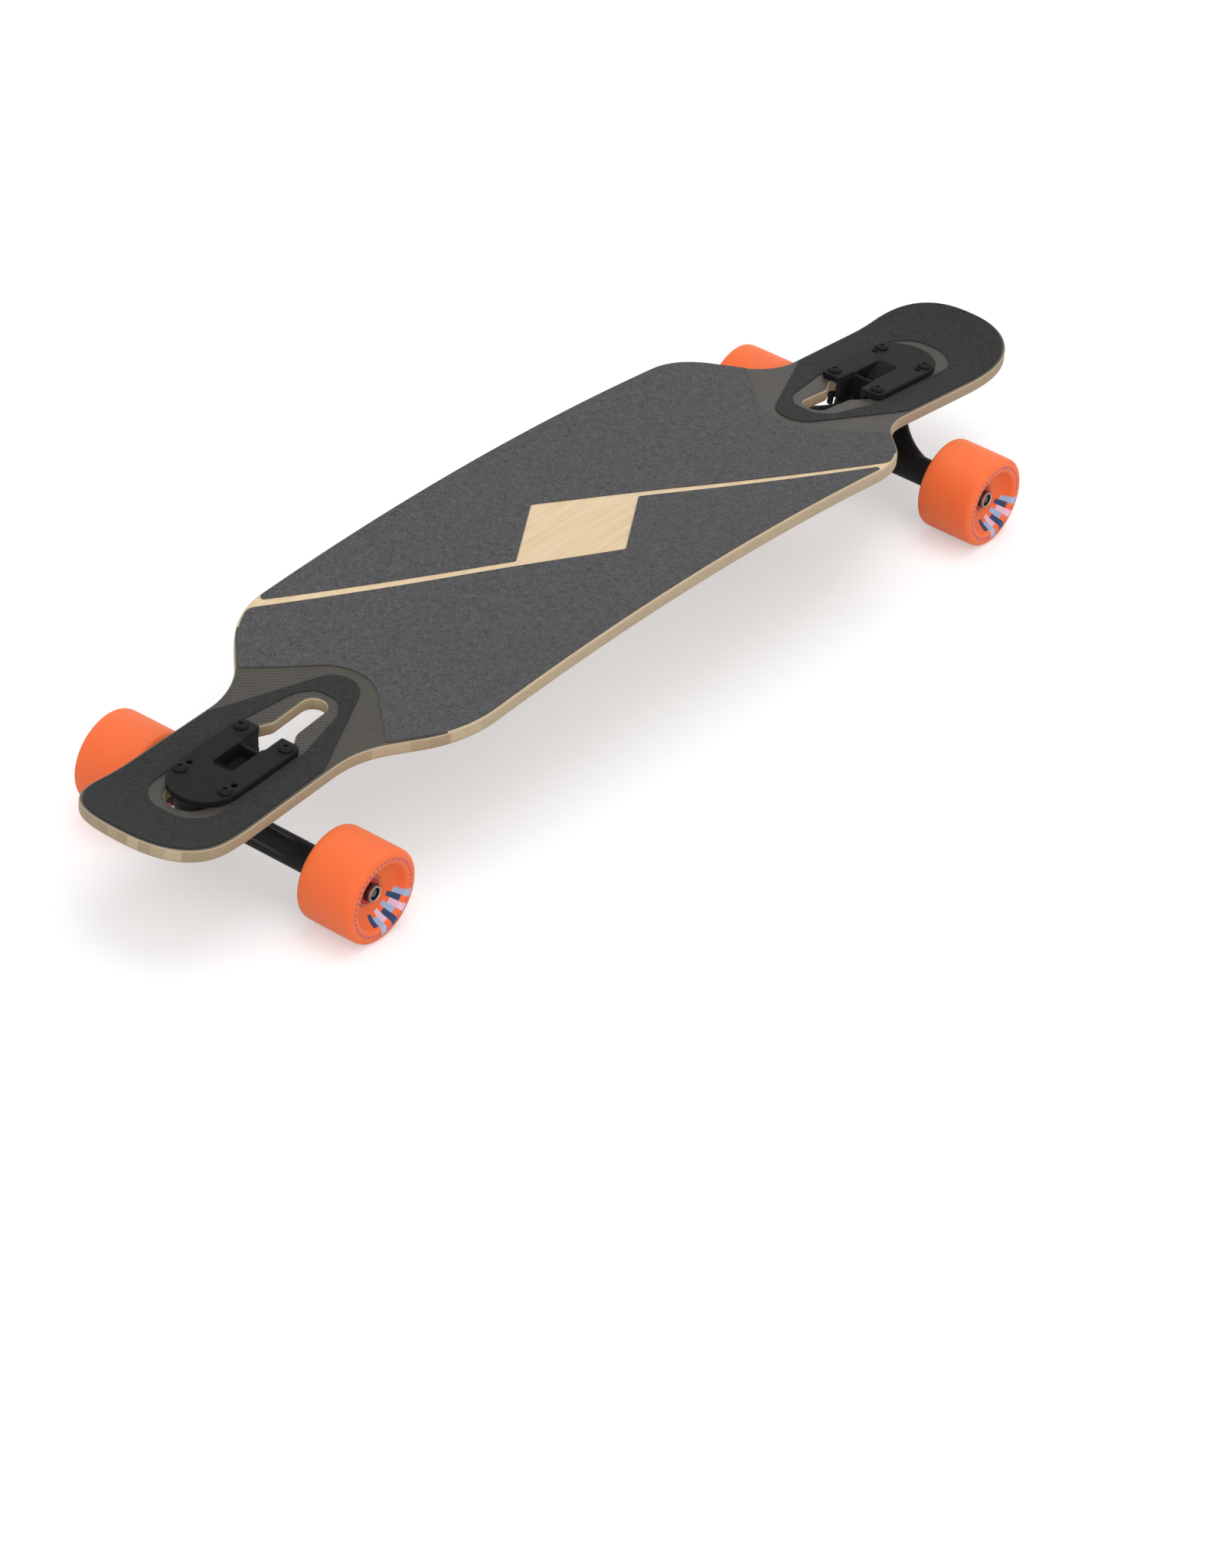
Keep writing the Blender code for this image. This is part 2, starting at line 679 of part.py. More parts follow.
def band_cutter():
    """Everything beyond the tail sheet's diagonal edge, with the window's near half."""
    reach = 2 * DECK_HALF_LENGTH
    joint_x = (2 * WINDOW_HALF_HEIGHT - BAND_WIDTH_ACROSS) / (2 * BAND_SLOPE)
    joint = Vector((joint_x, BAND_SLOPE * joint_x - WINDOW_HALF_HEIGHT))
    near_rail = joint + Vector((reach, -BAND_SLOPE * reach))
    far_rail = Vector((-reach, BAND_SLOPE * reach - WINDOW_HALF_HEIGHT))
    corners = [
        (far_rail.x, far_rail.y, 0),
        (0, -WINDOW_HALF_HEIGHT, GRIP_CORNER_RADIUS),
        (joint.x, joint.y, GRIP_CORNER_RADIUS),
        (near_rail.x, near_rail.y, 0),
        (reach, reach, 0),
    ]
    return slab([rounded(corners)], -reach, reach)


def ring_corners():
    """The outline of one ring sheet, which follows the deck's edge from the neck round the end."""
    neck_edge = NECK_HALF_WIDTH - RING_GRIP_INSET
    slope_start_y = RING_GRIP_RADIUS * math.tan((math.pi / 2 - math.atan(RING_GRIP_SLOPE)) / 2)
    meet_x = RING_GRIP_START_X + (neck_edge - slope_start_y) / RING_GRIP_SLOPE
    half = []
    for step in range(END_STEPS + 1):
        turn = math.pi / 2 * step / END_STEPS
        end_reach = DECK_HALF_LENGTH - RING_GRIP_INSET - END_START_X
        x = END_START_X + end_reach * math.cos(turn) ** (2 / END_POWER)
        y = (END_HALF_WIDTH - RING_GRIP_INSET) * math.sin(turn) ** (2 / END_POWER)
        half.append((x, y, 0))
    half.append((meet_x, neck_edge, GRIP_CORNER_RADIUS))
    half.append((RING_GRIP_START_X, slope_start_y, RING_GRIP_RADIUS * 0.99))
    return both_sides(half)


def ring_window_corners():
    half = [
        (RING_WINDOW_END_X, RING_WINDOW_HALF_WIDTH, RING_WINDOW_CORNER_RADIUS),
        (CUTOUT_WIDE_X, RING_WINDOW_HALF_WIDTH, RING_WINDOW_CORNER_RADIUS),
        (RING_WINDOW_NOSE_X, RING_WINDOW_NOSE_HALF_WIDTH, RING_WINDOW_NOSE_RADIUS),
        (RING_WINDOW_START_X, SLOT_HALF_WIDTH, SLOT_HALF_WIDTH),
    ]
    return both_sides(half)


def make_grip():
    low = GAP
    high = GAP + GRIP_THICKNESS
    main = slab([rounded(main_grip_corners())], low, high)
    main = combined(main, "DIFFERENCE", [band_cutter()])
    ring = slab([tip_merged(rounded(ring_corners())), rounded(ring_window_corners())], low, high)
    lift = Matrix.Translation((0, 0, DECK_TOP_Z))
    half_turn = Matrix.Rotation(math.pi, 4, "Z")
    sheets = {"grip_tail_main": (main, Matrix()), "grip_nose_main": (main, half_turn)}
    sheets["grip_nose_ring"] = (ring, Matrix())
    sheets["grip_tail_ring"] = (ring, half_turn)
    for sheet in (main, ring):
        bent(at_stations(sheet))
    for name, (sheet, turn) in sheets.items():
        placed(name, sheet, GRIT, lift @ turn)
    discard(main, ring)


# Baseplate: flat plate on the deck, with a drop through the cutout to the kingpin boss and the pivot housing

def stack():
    """Heights along the kingpin, from the ring's centre, positive towards the deck."""
    seat = RING_WALL_HALF + GAP
    board_washer = seat + BOARDSIDE_BUSHING_LENGTH + GAP
    boss = board_washer + WASHER_THICKNESS + GAP
    road_washer = -(seat + ROADSIDE_BUSHING_LENGTH + GAP)
    nut = road_washer - WASHER_THICKNESS - GAP
    return {
        "seat": seat,
        "board_washer": board_washer,
        "boss": boss,
        "head": boss + BOSS_WALL + GAP,
        "road_washer": road_washer,
        "nut": nut,
        "stub": nut - KINGPIN_NUT_HEIGHT - KINGPIN_STUB,
    }


def plate_outline():
    half = [
        (PLATE_OUTER_REACH, PLATE_HALF_WIDTH, PLATE_HALF_WIDTH * 0.99),
        (-PLATE_INNER_REACH, PLATE_HALF_WIDTH, PLATE_TIP_RADIUS),
        (-PLATE_INNER_REACH, NOTCH_HALF_WIDTH, PLATE_TIP_RADIUS / 3),
        (NOTCH_END, NOTCH_HALF_WIDTH, PLATE_TIP_RADIUS / 3),
    ]
    return rounded(both_sides(half))


def side_prism(corners, half_width):
    """An outline in the plate's X and Z, between two walls across it."""
    upright = Matrix.Rotation(math.pi / 2, 4, "X")
    return slab([[Vector(corner) for corner in corners]], -half_width, half_width, upright)


def make_baseplate():
    levels = stack()
    plate_low = GAP
    plate_high = GAP + PLATE_THICKNESS
    plate = slab([plate_outline()], plate_low, plate_high)
    drop_half = [
        (DROP_OUTER_REACH, DROP_HALF_WIDTH, DROP_END_RADIUS),
        (-DROP_INNER_REACH, DROP_HALF_WIDTH, PLATE_TIP_RADIUS / 3),
    ]
    drop = slab([rounded(both_sides(drop_half))], -DROP_DEPTH, plate_low + PLATE_THICKNESS / 3)
    boss = rod(BOSS_RADIUS, levels["boss"], levels["boss"] + BOSS_LENGTH, STEER_IN_PLATE, sides=20)
    toes = side_prism(
        [
            (TOE_TIP_X, -DROP_DEPTH),
            (TOE_TIP_X, -DROP_DEPTH - TOE_TIP_DEPTH),
            (TOE_HEEL_X, -TOE_HEEL_DEPTH),
            (TOE_ROOT_X, -TOE_HEEL_DEPTH),
            (TOE_ROOT_X, -DROP_DEPTH + GAP),
            (-DROP_INNER_REACH + GAP, -DROP_DEPTH + GAP),
        ],
        TOE_HALF_WIDTH,
    )
    axis_out = STEER_IN_PLATE @ Matrix.Rotation(math.pi / 2, 4, "Y")
    mouth = PIVOT_REACH + GAP + PIVOT_CUP_WALL - PIVOT_CUP_LENGTH - GAP
    housing = rod(PIVOT_HOUSING_RADIUS, mouth, mouth + PIVOT_HOUSING_LENGTH, axis_out, sides=20)
    body = combined(plate, "UNION", [drop, boss, toes, housing])
    through = plate_high + DROP_DEPTH
    notch_half = [
        (NOTCH_END, CHANNEL_HALF_WIDTH, PLATE_TIP_RADIUS / 4),
        (-4 * PLATE_INNER_REACH, CHANNEL_HALF_WIDTH, 0),
    ]
    pocket_half = [
        (POCKET_END, POCKET_HALF_WIDTH, POCKET_CORNER_RADIUS),
        (POCKET_START, POCKET_HALF_WIDTH, 0),
    ]
    saddle_half = [
        (POCKET_START + POCKET_CORNER_RADIUS, POCKET_HALF_WIDTH - GAP, 0),
        (NOTCH_END - POCKET_CORNER_RADIUS, POCKET_HALF_WIDTH - GAP, 0),
    ]
    cuts = [
        slab([rounded(both_sides(notch_half))], -CHANNEL_DEPTH, through),
        slab([rounded(both_sides(pocket_half))], -POCKET_DEPTH, through),
        slab([rounded(both_sides(saddle_half))], plate_high - SADDLE_DEPTH, through),
    ]
    cuts.append(rod(KINGPIN_RADIUS + GAP, 0, levels["head"] + BOSS_RADIUS, STEER_IN_PLATE, sides=12))
    cavity_high = levels["boss"] + 2 * BOSS_LENGTH
    cuts.append(rod(HEAD_CAVITY_RADIUS, levels["head"] - GAP, cavity_high, STEER_IN_PLATE, sides=16))
    cup_radius = PIVOT_RADIUS + GAP + PIVOT_CUP_WALL + GAP
    cuts.append(rod(cup_radius, 0, mouth + PIVOT_CUP_LENGTH + 2 * GAP, axis_out, sides=16))
    for name, place in bolt_places().items():
        frame = Matrix.Translation(place)
        cuts.append(rod(BOLT_RADIUS + BOLT_CLEARANCE, -GAP, through, frame, sides=12))
        if name.startswith("outer"):
            frame = Matrix.Translation(place - Vector((SPARE_HOLE_INSET, 0, 0)))
            cuts.append(rod(SPARE_HOLE_RADIUS, -GAP, through, frame, sides=12))
    return combined(body, "DIFFERENCE", cuts)


# Hanger: axle bar, web, bushing ring and pivot nose in one casting

def make_hanger():
    bar_frame = Matrix.Translation(AXLE_IN_STEER) @ Matrix.Rotation(math.pi / 2, 4, "X")
    bar = rod(HANGER_RADIUS, -HANGER_HALF_LENGTH, HANGER_HALF_LENGTH, bar_frame, sides=20)
    ends = HANGER_HALF_LENGTH + SPEED_RING_HEIGHT
    speed_ring = rod(SPEED_RING_RADIUS, -ends, ends, bar_frame, sides=12)
    bar_front = HANGER_RADIUS - AXLE_OFFSET
    web_half = [
        (WEB_TIP_X, WEB_TIP_HALF_WIDTH, WEB_TIP_RADIUS),
        (bar_front - RING_RADIUS / 8, WEB_ROOT_HALF_WIDTH, WEB_FLARE_RADIUS),
        (bar_front - RING_RADIUS / 6, WEB_FLARE_Y, 0),
        (-AXLE_OFFSET, WEB_FLARE_Y, 0),
    ]
    web = slab([rounded(both_sides(web_half))], -WEB_HALF_THICKNESS, WEB_HALF_THICKNESS)
    ring = rod(RING_RADIUS, -RING_HALF_HEIGHT, RING_HALF_HEIGHT, sides=24)
    nose_profile = [
        (0, PIVOT_ROOT_X),
        (PIVOT_ROOT_RADIUS, PIVOT_ROOT_X),
        (PIVOT_RADIUS, PIVOT_NECK_X),
        (PIVOT_RADIUS, PIVOT_REACH - PIVOT_RADIUS * 0.8),
        (PIVOT_RADIUS * 0.75, PIVOT_REACH - PIVOT_RADIUS * 0.3),
        (PIVOT_RADIUS * 0.35, PIVOT_REACH),
        (0, PIVOT_REACH),
    ]
    outwards = Matrix.Rotation(math.pi / 2, 4, "Y")
    nose = turned(nose_profile, outwards, sides=14)
    body = combined(bar, "UNION", [speed_ring, web, ring, nose])
    window = [
        (WEB_WINDOW_START, -WEB_WINDOW_HALF_WIDTH, WEB_WINDOW_RADIUS),
        (WEB_WINDOW_END, 0, WEB_WINDOW_RADIUS),
        (WEB_WINDOW_START, WEB_WINDOW_HALF_WIDTH, WEB_WINDOW_RADIUS),
    ]
    deep = 2 * HANGER_RADIUS
    cuts = [slab([rounded(window)], -deep, deep)]
    cuts.append(rod(SEAT_RADIUS, RING_WALL_HALF, deep, sides=20))
    cuts.append(rod(SEAT_RADIUS, -deep, -RING_WALL_HALF, sides=20))
    cuts.append(rod(KINGPIN_HOLE_RADIUS, -deep, deep, sides=16))
    cuts.append(rod(AXLE_RADIUS + GAP, -2 * ends, 2 * ends, bar_frame, sides=12))
    return combined(body, "DIFFERENCE", cuts)


# Kingpin stack: bolt, nut, bushings and cupped washers

def make_kingpin():
    levels = stack()
    shaft = rod(KINGPIN_RADIUS, levels["stub"], levels["head"] + KINGPIN_HEAD_HEIGHT / 2, sides=16)
    head_high = levels["head"] + KINGPIN_HEAD_HEIGHT
    head = slab([regular(6, KINGPIN_HEAD_WIDTH)], levels["head"], head_high)
    return combined(shaft, "UNION", [head])


def make_nut(width, low, high, bore, flange_radius=0.0, flange_height=0.0):
    """A hexagon nut along Z, with a flange at its high end where one is given."""
    nut = slab([regular(6, width)], low, high)
    if flange_radius:
        nut = combined(nut, "UNION", [rod(flange_radius, high - flange_height, high, sides=12)])
    return combined(nut, "DIFFERENCE", [rod(bore, low - width, high + width, sides=12)])


def make_bushing(low, high, wide_end):
    """A tapered urethane bushing, wide where it seats in the hanger's ring."""
    inner = KINGPIN_RADIUS + GAP
    low_radius, high_radius = BUSHING_WAIST_RADIUS, BUSHING_RADIUS
    if wide_end == "low":
        low_radius, high_radius = high_radius, low_radius
    profile = [(inner, low), (low_radius, low), (high_radius, high), (inner, high)]
    return turned(profile)


def make_washer(low):
    inner = KINGPIN_RADIUS + GAP
    high = low + WASHER_THICKNESS
    return turned([(inner, low), (WASHER_RADIUS, low), (WASHER_RADIUS, high), (inner, high)])


def make_pivot_cup():
    """A plastic cup turned about the steering axis, closed behind the pivot nose."""
    inner = PIVOT_RADIUS + GAP
    outer = inner + PIVOT_CUP_WALL
    floor = PIVOT_REACH + GAP
    back = floor + PIVOT_CUP_WALL
    mouth = back - PIVOT_CUP_LENGTH
    profile = [(0, floor), (inner, floor), (inner, mouth), (outer, mouth), (outer, back), (0, back)]
    return turned(profile, Matrix.Rotation(math.pi / 2, 4, "Y"))


# Fixing bolts through plate and deck

def make_bolt():
    head_low = 2 * GAP + PLATE_THICKNESS
    head_high = head_low + BOLT_HEAD_HEIGHT
    nut_low = -DECK_THICKNESS - GAP - LOCK_NUT_HEIGHT
    profile = [
        (0, nut_low - BOLT_STUB),
        (BOLT_RADIUS, nut_low - BOLT_STUB),
        (BOLT_RADIUS, head_low),
        (BOLT_HEAD_RADIUS, head_low),
        (BOLT_HEAD_RADIUS * 0.93, head_low + BOLT_HEAD_HEIGHT * 0.5),
        (BOLT_HEAD_RADIUS * 0.6, head_high),
        (0, head_high),
    ]
    bolt = turned(profile, sides=12)
    socket = slab([regular(6, BOLT_SOCKET_WIDTH)], head_high - BOLT_SOCKET_DEPTH, head_high + BOLT_HEAD_HEIGHT)
    return combined(bolt, "DIFFERENCE", [socket])


# Wheels, bearings and axle nuts, each about its own centre with the axle along Z

def make_wheel():
    """The tyre's half-section, from the outer bearing seat over the tread to the inner one."""
    half = WHEEL_WIDTH / 2
    tread = WHEEL_RADIUS / math.cos(math.pi / WHEEL_FACETS)
    seat = BEARING_RADIUS + GAP
    shoulder = SPACER_LENGTH / 2 - GAP
    hub_face = SPACER_LENGTH / 2 + BEARING_WIDTH + HUB_FACE_MARGIN
    edge = WHEEL_EDGE_RADIUS
    soft = math.sin(math.pi / 4)

    def face(side, mouth):
        return [
            (HUB_SHOULDER_RADIUS, side * shoulder),
            (seat, side * shoulder),
            (seat, side * hub_face),
            (HUB_RADIUS, side * hub_face),
            (mouth, side * (half - MOUTH_ROUNDING)),
            (mouth + MOUTH_ROUNDING, side * half),
            (tread - edge, side * half),
            (tread - edge * (1 - soft), side * (half - edge * (1 - soft))),
            (tread, side * (half - edge)),
        ]

    profile = face(1, OUTER_MOUTH_RADIUS) + face(-1, INNER_MOUTH_RADIUS)[::-1]
    level = Matrix.Rotation(math.pi / WHEEL_FACETS, 4, "Z")
    return turned(profile, level, sides=WHEEL_FACETS)


def make_bearing():
    """A shielded ball bearing, its shield sunk between the races on the side that shows."""
    half = BEARING_WIDTH / 2
    bore = AXLE_RADIUS + GAP
    shield = half - BEARING_SHIELD_DEPTH
    profile = [
        (bore, -half),
        (BEARING_RADIUS, -half),
        (BEARING_RADIUS, half),
        (BEARING_RADIUS - BEARING_RACE, half),
        (BEARING_RADIUS - BEARING_RACE, shield),
        (bore + BEARING_RACE, shield),
        (bore + BEARING_RACE, half),
        (bore, half),
    ]
    return turned(profile, sides=12)


# Assembly

def make_truck_shapes():
    levels = stack()
    return {
        "baseplate": (make_baseplate(), BLACK_CAST),
        "kingpin": (make_kingpin(), BLACK_STEEL),
        "kingpin_nut": (
            make_nut(KINGPIN_NUT_WIDTH, levels["nut"] - KINGPIN_NUT_HEIGHT, levels["nut"], KINGPIN_RADIUS + GAP),
            GOLD_STEEL,
        ),
        "boardside_bushing": (
            make_bushing(levels["seat"], levels["seat"] + BOARDSIDE_BUSHING_LENGTH, "low"),
            BLACK_URETHANE,
        ),
        "roadside_bushing": (
            make_bushing(-levels["seat"] - ROADSIDE_BUSHING_LENGTH, -levels["seat"], "high"),
            BLACK_URETHANE,
        ),
        "boardside_washer": (make_washer(levels["board_washer"]), GOLD_STEEL),
        "roadside_washer": (make_washer(levels["road_washer"] - WASHER_THICKNESS), GOLD_STEEL),
        "pivot_cup": (make_pivot_cup(), BLACK_PLASTIC),
        "hanger": (make_hanger(), BLACK_CAST),
    }


def make_truck(end, turn, shapes, fixings):
    """Places one truck with its wheels. turn carries the nose truck's frames to this end."""
    plate = empty(f"{end}_plate_frame", turn @ PLATE_FRAME)
    steer = empty(f"{end}_steering_axis", turn @ STEER_FRAME, plate)
    for name, (shape, look) in shapes.items():
        parent = plate if name == "baseplate" else steer
        frame = turn @ (PLATE_FRAME if name == "baseplate" else STEER_FRAME)
        placed(f"{end}_{name}", shape, look, frame, parent)
    bolt, lock_nut = fixings
    for name, place in bolt_places().items():
        frame = turn @ PLATE_FRAME @ Matrix.Translation(place)
        placed(f"{end}_bolt_{name}", bolt, BLACK_STEEL, frame, plate)
        placed(f"{end}_lock_nut_{name}", lock_nut, BLACK_STEEL, frame, plate)
    hanger = bpy.data.objects[f"{end}_hanger"]
    axle = rod(AXLE_RADIUS, -AXLE_HALF_LENGTH, AXLE_HALF_LENGTH, sides=16)
    axle_frame = turn @ Matrix.Translation(AXLE_CENTRE) @ along((0, 1, 0))
    placed(f"{end}_axle", axle, BRIGHT_STEEL, axle_frame, hanger)
    discard(axle)
    return hanger


def make_wheels(end, turn, hanger, wheel_shapes):
    tyre, bearing, nut = wheel_shapes
    bearing_step = (SPACER_LENGTH + BEARING_WIDTH) / 2
    for side in (1, -1):
        outwards = along((0, side, 0))
        centre = turn @ Matrix.Translation(AXLE_CENTRE + Vector((0, side * WHEEL_TRACK, 0))) @ outwards
        left = centre.translation.y > 0
        name = f"{end}_{'left' if left else 'right'}"
        wheel = placed(f"{name}_wheel", tyre, ORANGE_URETHANE, centre, hanger)
        faced_in = Matrix.Rotation(math.pi, 4, "X")
        for place, step, facing in (("inner", -bearing_step, faced_in), ("outer", bearing_step, Matrix())):
            frame = centre @ Matrix.Translation((0, 0, step)) @ facing
            placed(f"{name}_{place}_bearing", bearing, BRIGHT_STEEL, frame, wheel)
        placed(f"{name}_axle_nut", nut, BRIGHT_STEEL, centre, hanger)


def main():
    make_deck()
    make_grip()
    shapes = make_truck_shapes()
    nut_high = -DECK_THICKNESS - GAP
    lock_nut = make_nut(
        LOCK_NUT_WIDTH,
        nut_high - LOCK_NUT_HEIGHT,
        nut_high,
        BOLT_RADIUS + BOLT_CLEARANCE,
        LOCK_NUT_FLANGE_RADIUS,
        LOCK_NUT_FLANGE_HEIGHT,
    )
    fixings = (make_bolt(), lock_nut)
    axle_nut = make_nut(AXLE_NUT_WIDTH, AXLE_NUT_LOW, AXLE_NUT_LOW + AXLE_NUT_HEIGHT, AXLE_RADIUS + GAP)
    wheel_shapes = (make_wheel(), make_bearing(), axle_nut)
    for end, turn in ENDS.items():
        hanger = make_truck(end, turn, shapes, fixings)
        make_wheels(end, turn, hanger, wheel_shapes)
    discard(*(shape for shape, _ in shapes.values()), *fixings, *wheel_shapes)


main()
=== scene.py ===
import json
import math

import bmesh
import bpy
from mathutils import Matrix, Vector

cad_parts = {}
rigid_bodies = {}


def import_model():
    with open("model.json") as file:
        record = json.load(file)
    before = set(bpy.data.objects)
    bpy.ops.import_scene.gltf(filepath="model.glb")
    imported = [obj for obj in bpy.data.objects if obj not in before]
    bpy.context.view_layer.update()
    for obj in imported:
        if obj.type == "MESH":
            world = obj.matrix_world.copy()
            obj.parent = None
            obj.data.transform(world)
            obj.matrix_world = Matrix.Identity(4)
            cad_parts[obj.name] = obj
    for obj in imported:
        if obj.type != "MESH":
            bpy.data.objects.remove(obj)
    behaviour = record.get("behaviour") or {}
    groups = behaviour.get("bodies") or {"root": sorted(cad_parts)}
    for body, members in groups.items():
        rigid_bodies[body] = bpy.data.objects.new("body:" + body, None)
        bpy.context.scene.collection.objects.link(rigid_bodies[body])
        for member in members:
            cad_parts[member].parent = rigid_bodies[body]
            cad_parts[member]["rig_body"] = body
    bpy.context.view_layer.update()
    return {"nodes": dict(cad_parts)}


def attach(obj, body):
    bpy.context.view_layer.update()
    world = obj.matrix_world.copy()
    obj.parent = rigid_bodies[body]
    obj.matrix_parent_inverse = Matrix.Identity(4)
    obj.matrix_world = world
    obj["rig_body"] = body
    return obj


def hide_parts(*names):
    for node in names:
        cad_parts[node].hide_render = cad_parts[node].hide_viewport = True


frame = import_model()


# Studio: a wide pale floor under one broad overhead light and a soft low fill, with an even white surround.
# The floor is white to the camera and takes the board's soft shadow, but it throws a little less light back
# up, and it is clear when seen from below.

MM = 0.001


def tone(red, green, blue):
    """A colour from its usual 0 to 255 values, in the linear light that shaders use."""
    shares = [part / 255 for part in (red, green, blue)]
    return (*[share / 12.92 if share < 0.04 else ((share + 0.055) / 1.055) ** 2.4 for share in shares], 1)


class Reading:
    """A number, colour or vector read off a surface. Arithmetic on it adds Math nodes to its finish."""

    def __init__(self, finish, socket):
        self.finish = finish
        self.socket = socket

    def output(self, name):
        return Reading(self.finish, self.socket.node.outputs[name])

    def math(self, operation, *others):
        return self.finish.node("ShaderNodeMath", {"operation": operation}, [self, *others])

    def __add__(self, other):
        return self.math("ADD", other)

    def __sub__(self, other):
        return self.math("SUBTRACT", other)

    def __rsub__(self, other):
        return self * -1 + other

    def __mul__(self, other):
        return self.math("MULTIPLY", other)

    def __truediv__(self, other):
        return self.math("DIVIDE", other)

    def __abs__(self):
        return self.math("ABSOLUTE")

    def __gt__(self, other):
        return self.math("GREATER_THAN", other)

    def __lt__(self, other):
        return self.math("LESS_THAN", other)

    __radd__ = __add__
    __rmul__ = __mul__


class Finish:
    """A material, or the surround, on one shader, with the nodes that feed it."""

    def __init__(self, owner, shader, values):
        owner.use_nodes = True
        self.owner = owner
        self.tree = owner.node_tree
        self.shader = self.tree.nodes[shader]
        self.feed(self.shader, values)

    def feed(self, made, values):
        pairs = values.items() if isinstance(values, dict) else enumerate(values)
        for place, value in pairs:
            if isinstance(value, Reading):
                self.tree.links.new(value.socket, made.inputs[place])
            else:
                made.inputs[place].default_value = value

    def node(self, kind, settings=None, values=(), output=0):
        made = self.tree.nodes.new(kind)
        for name, value in (settings or {}).items():
            if name == "stops":
                made.color_ramp.elements.remove(made.color_ramp.elements[1])
                for index, (place, colour) in enumerate(value):
                    stop = made.color_ramp.elements.new(place) if index else made.color_ramp.elements[0]
                    stop.position = place
                    stop.color = colour
            else:
                setattr(made, name, value)
        self.feed(made, values)
        return Reading(self, made.outputs[output])

    def set(self, values):
        self.feed(self.shader, values)

    def mixed(self, share, first, second):
        """The first colour where share is 0 and the second where it is 1."""
        return self.node("ShaderNodeMix", {"data_type": "RGBA"}, {0: share, 6: first, 7: second}, output=2)

    def ramp(self, share, *stops):
        return self.node("ShaderNodeValToRGB", {"stops": stops}, [share])

    def looked_at(self):
        """1 where the camera sees the surface, also in metal, and 0 where falling light is gathered."""
        ray = self.node("ShaderNodeLightPath")
        return ray.output("Is Camera Ray") + ray.output("Is Glossy Ray") + ray.output("Is Transmission Ray")

    def place(self):
        """The surface's place along x, y and z, in millimetres."""
        where = self.node("ShaderNodeTexCoord").output("Object")
        axes = self.node("ShaderNodeSeparateXYZ", values=[where])
        return [axes.output(axis) * 1000 for axis in "XYZ"]

    def cloudy(self, size, detail=2.0, stretch=(1, 1, 1), distortion=0.0):
        """Soft noise with blotches of a size in millimetres, stretched along x, y or z."""
        where = self.node("ShaderNodeTexCoord").output("Object")
        scale = [1000 / size / part for part in stretch]
        scaled = self.node("ShaderNodeMapping", values={"Vector": where, "Scale": scale})
        values = {"Vector": scaled, "Scale": 1.0, "Detail": detail, "Distortion": distortion}
        return self.node("ShaderNodeTexNoise", values=values)

    def relief(self, height, depth):
        """Raises the surface by height times a depth in millimetres."""
        self.set({"Normal": self.node("ShaderNodeBump", values={"Height": height, "Distance": depth * MM})})


def finish(name, values):
    return Finish(bpy.data.materials.new(name), "Principled BSDF", values)


def shown(name, working, looks, crease=32):
    """Makes the scene object from a bmesh that is already in place."""
    mesh = bpy.data.meshes.new(name)
    working.to_mesh(mesh)
    working.free()
    for look in looks:
        mesh.materials.append(look.owner)
    mesh.shade_smooth()
    mesh.set_sharp_from_angle(angle=math.radians(crease))
    piece = bpy.data.objects.new(name, mesh)
    bpy.context.scene.collection.objects.link(piece)
    return piece


FLOOR_REACH = 14
FLOOR_DROP = 0.1 * MM
NO_GLOW = (0, 0, 0, 1)
WHITE_GLOW = (0.36, 0.36, 0.36, 1)
studio_floor = finish("studio_floor", {"Roughness": 1.0, "Specular IOR Level": 0.0, "Emission Strength": 1.0})
seen = studio_floor.looked_at()
studio_floor.set({"Base Color": studio_floor.mixed(seen, tone(198, 199, 200), tone(224, 225, 226))})
studio_floor.set({"Emission Color": studio_floor.mixed(seen, NO_GLOW, WHITE_GLOW)})
studio_floor.set({"Alpha": 1 - studio_floor.node("ShaderNodeNewGeometry").output("Backfacing")})
working = bmesh.new()
bmesh.ops.create_grid(working, x_segments=8, y_segments=8, size=FLOOR_REACH)
bmesh.ops.translate(working, verts=working.verts, vec=(0, 0, -FLOOR_DROP))
shown("floor", working, [studio_floor])

SKY_LIGHT = 0.72
surround = bpy.data.worlds.new("surround")
bpy.context.scene.world = surround
sky = Finish(surround, "Background", {"Color": (1, 1, 1, 1)})
sky.set({"Strength": sky.looked_at() * (1 - SKY_LIGHT) + SKY_LIGHT})

LAMPS = {
    "overhead": {"energy": 0.6, "spread": 42, "heading": 0, "tilt": 8},
    "fill": {"energy": 1.0, "spread": 90, "heading": -130, "tilt": 66},
}
for name, light in LAMPS.items():
    lamp = bpy.data.lights.new(name, "SUN")
    lamp.energy = light["energy"]
    lamp.angle = math.radians(light["spread"])
    stand = bpy.data.objects.new(name, lamp)
    turned = Matrix.Rotation(math.radians(light["heading"]), 4, "Z")
    tipped = Matrix.Rotation(math.radians(light["tilt"]), 4, "Y")
    stand.matrix_world = turned @ tipped
    bpy.context.scene.collection.objects.link(stand)


# Camera: it stands where the photograph was taken from. Its place, turns and focal length were worked out
# from the board's outline, its four wheels and the eight bolt heads.

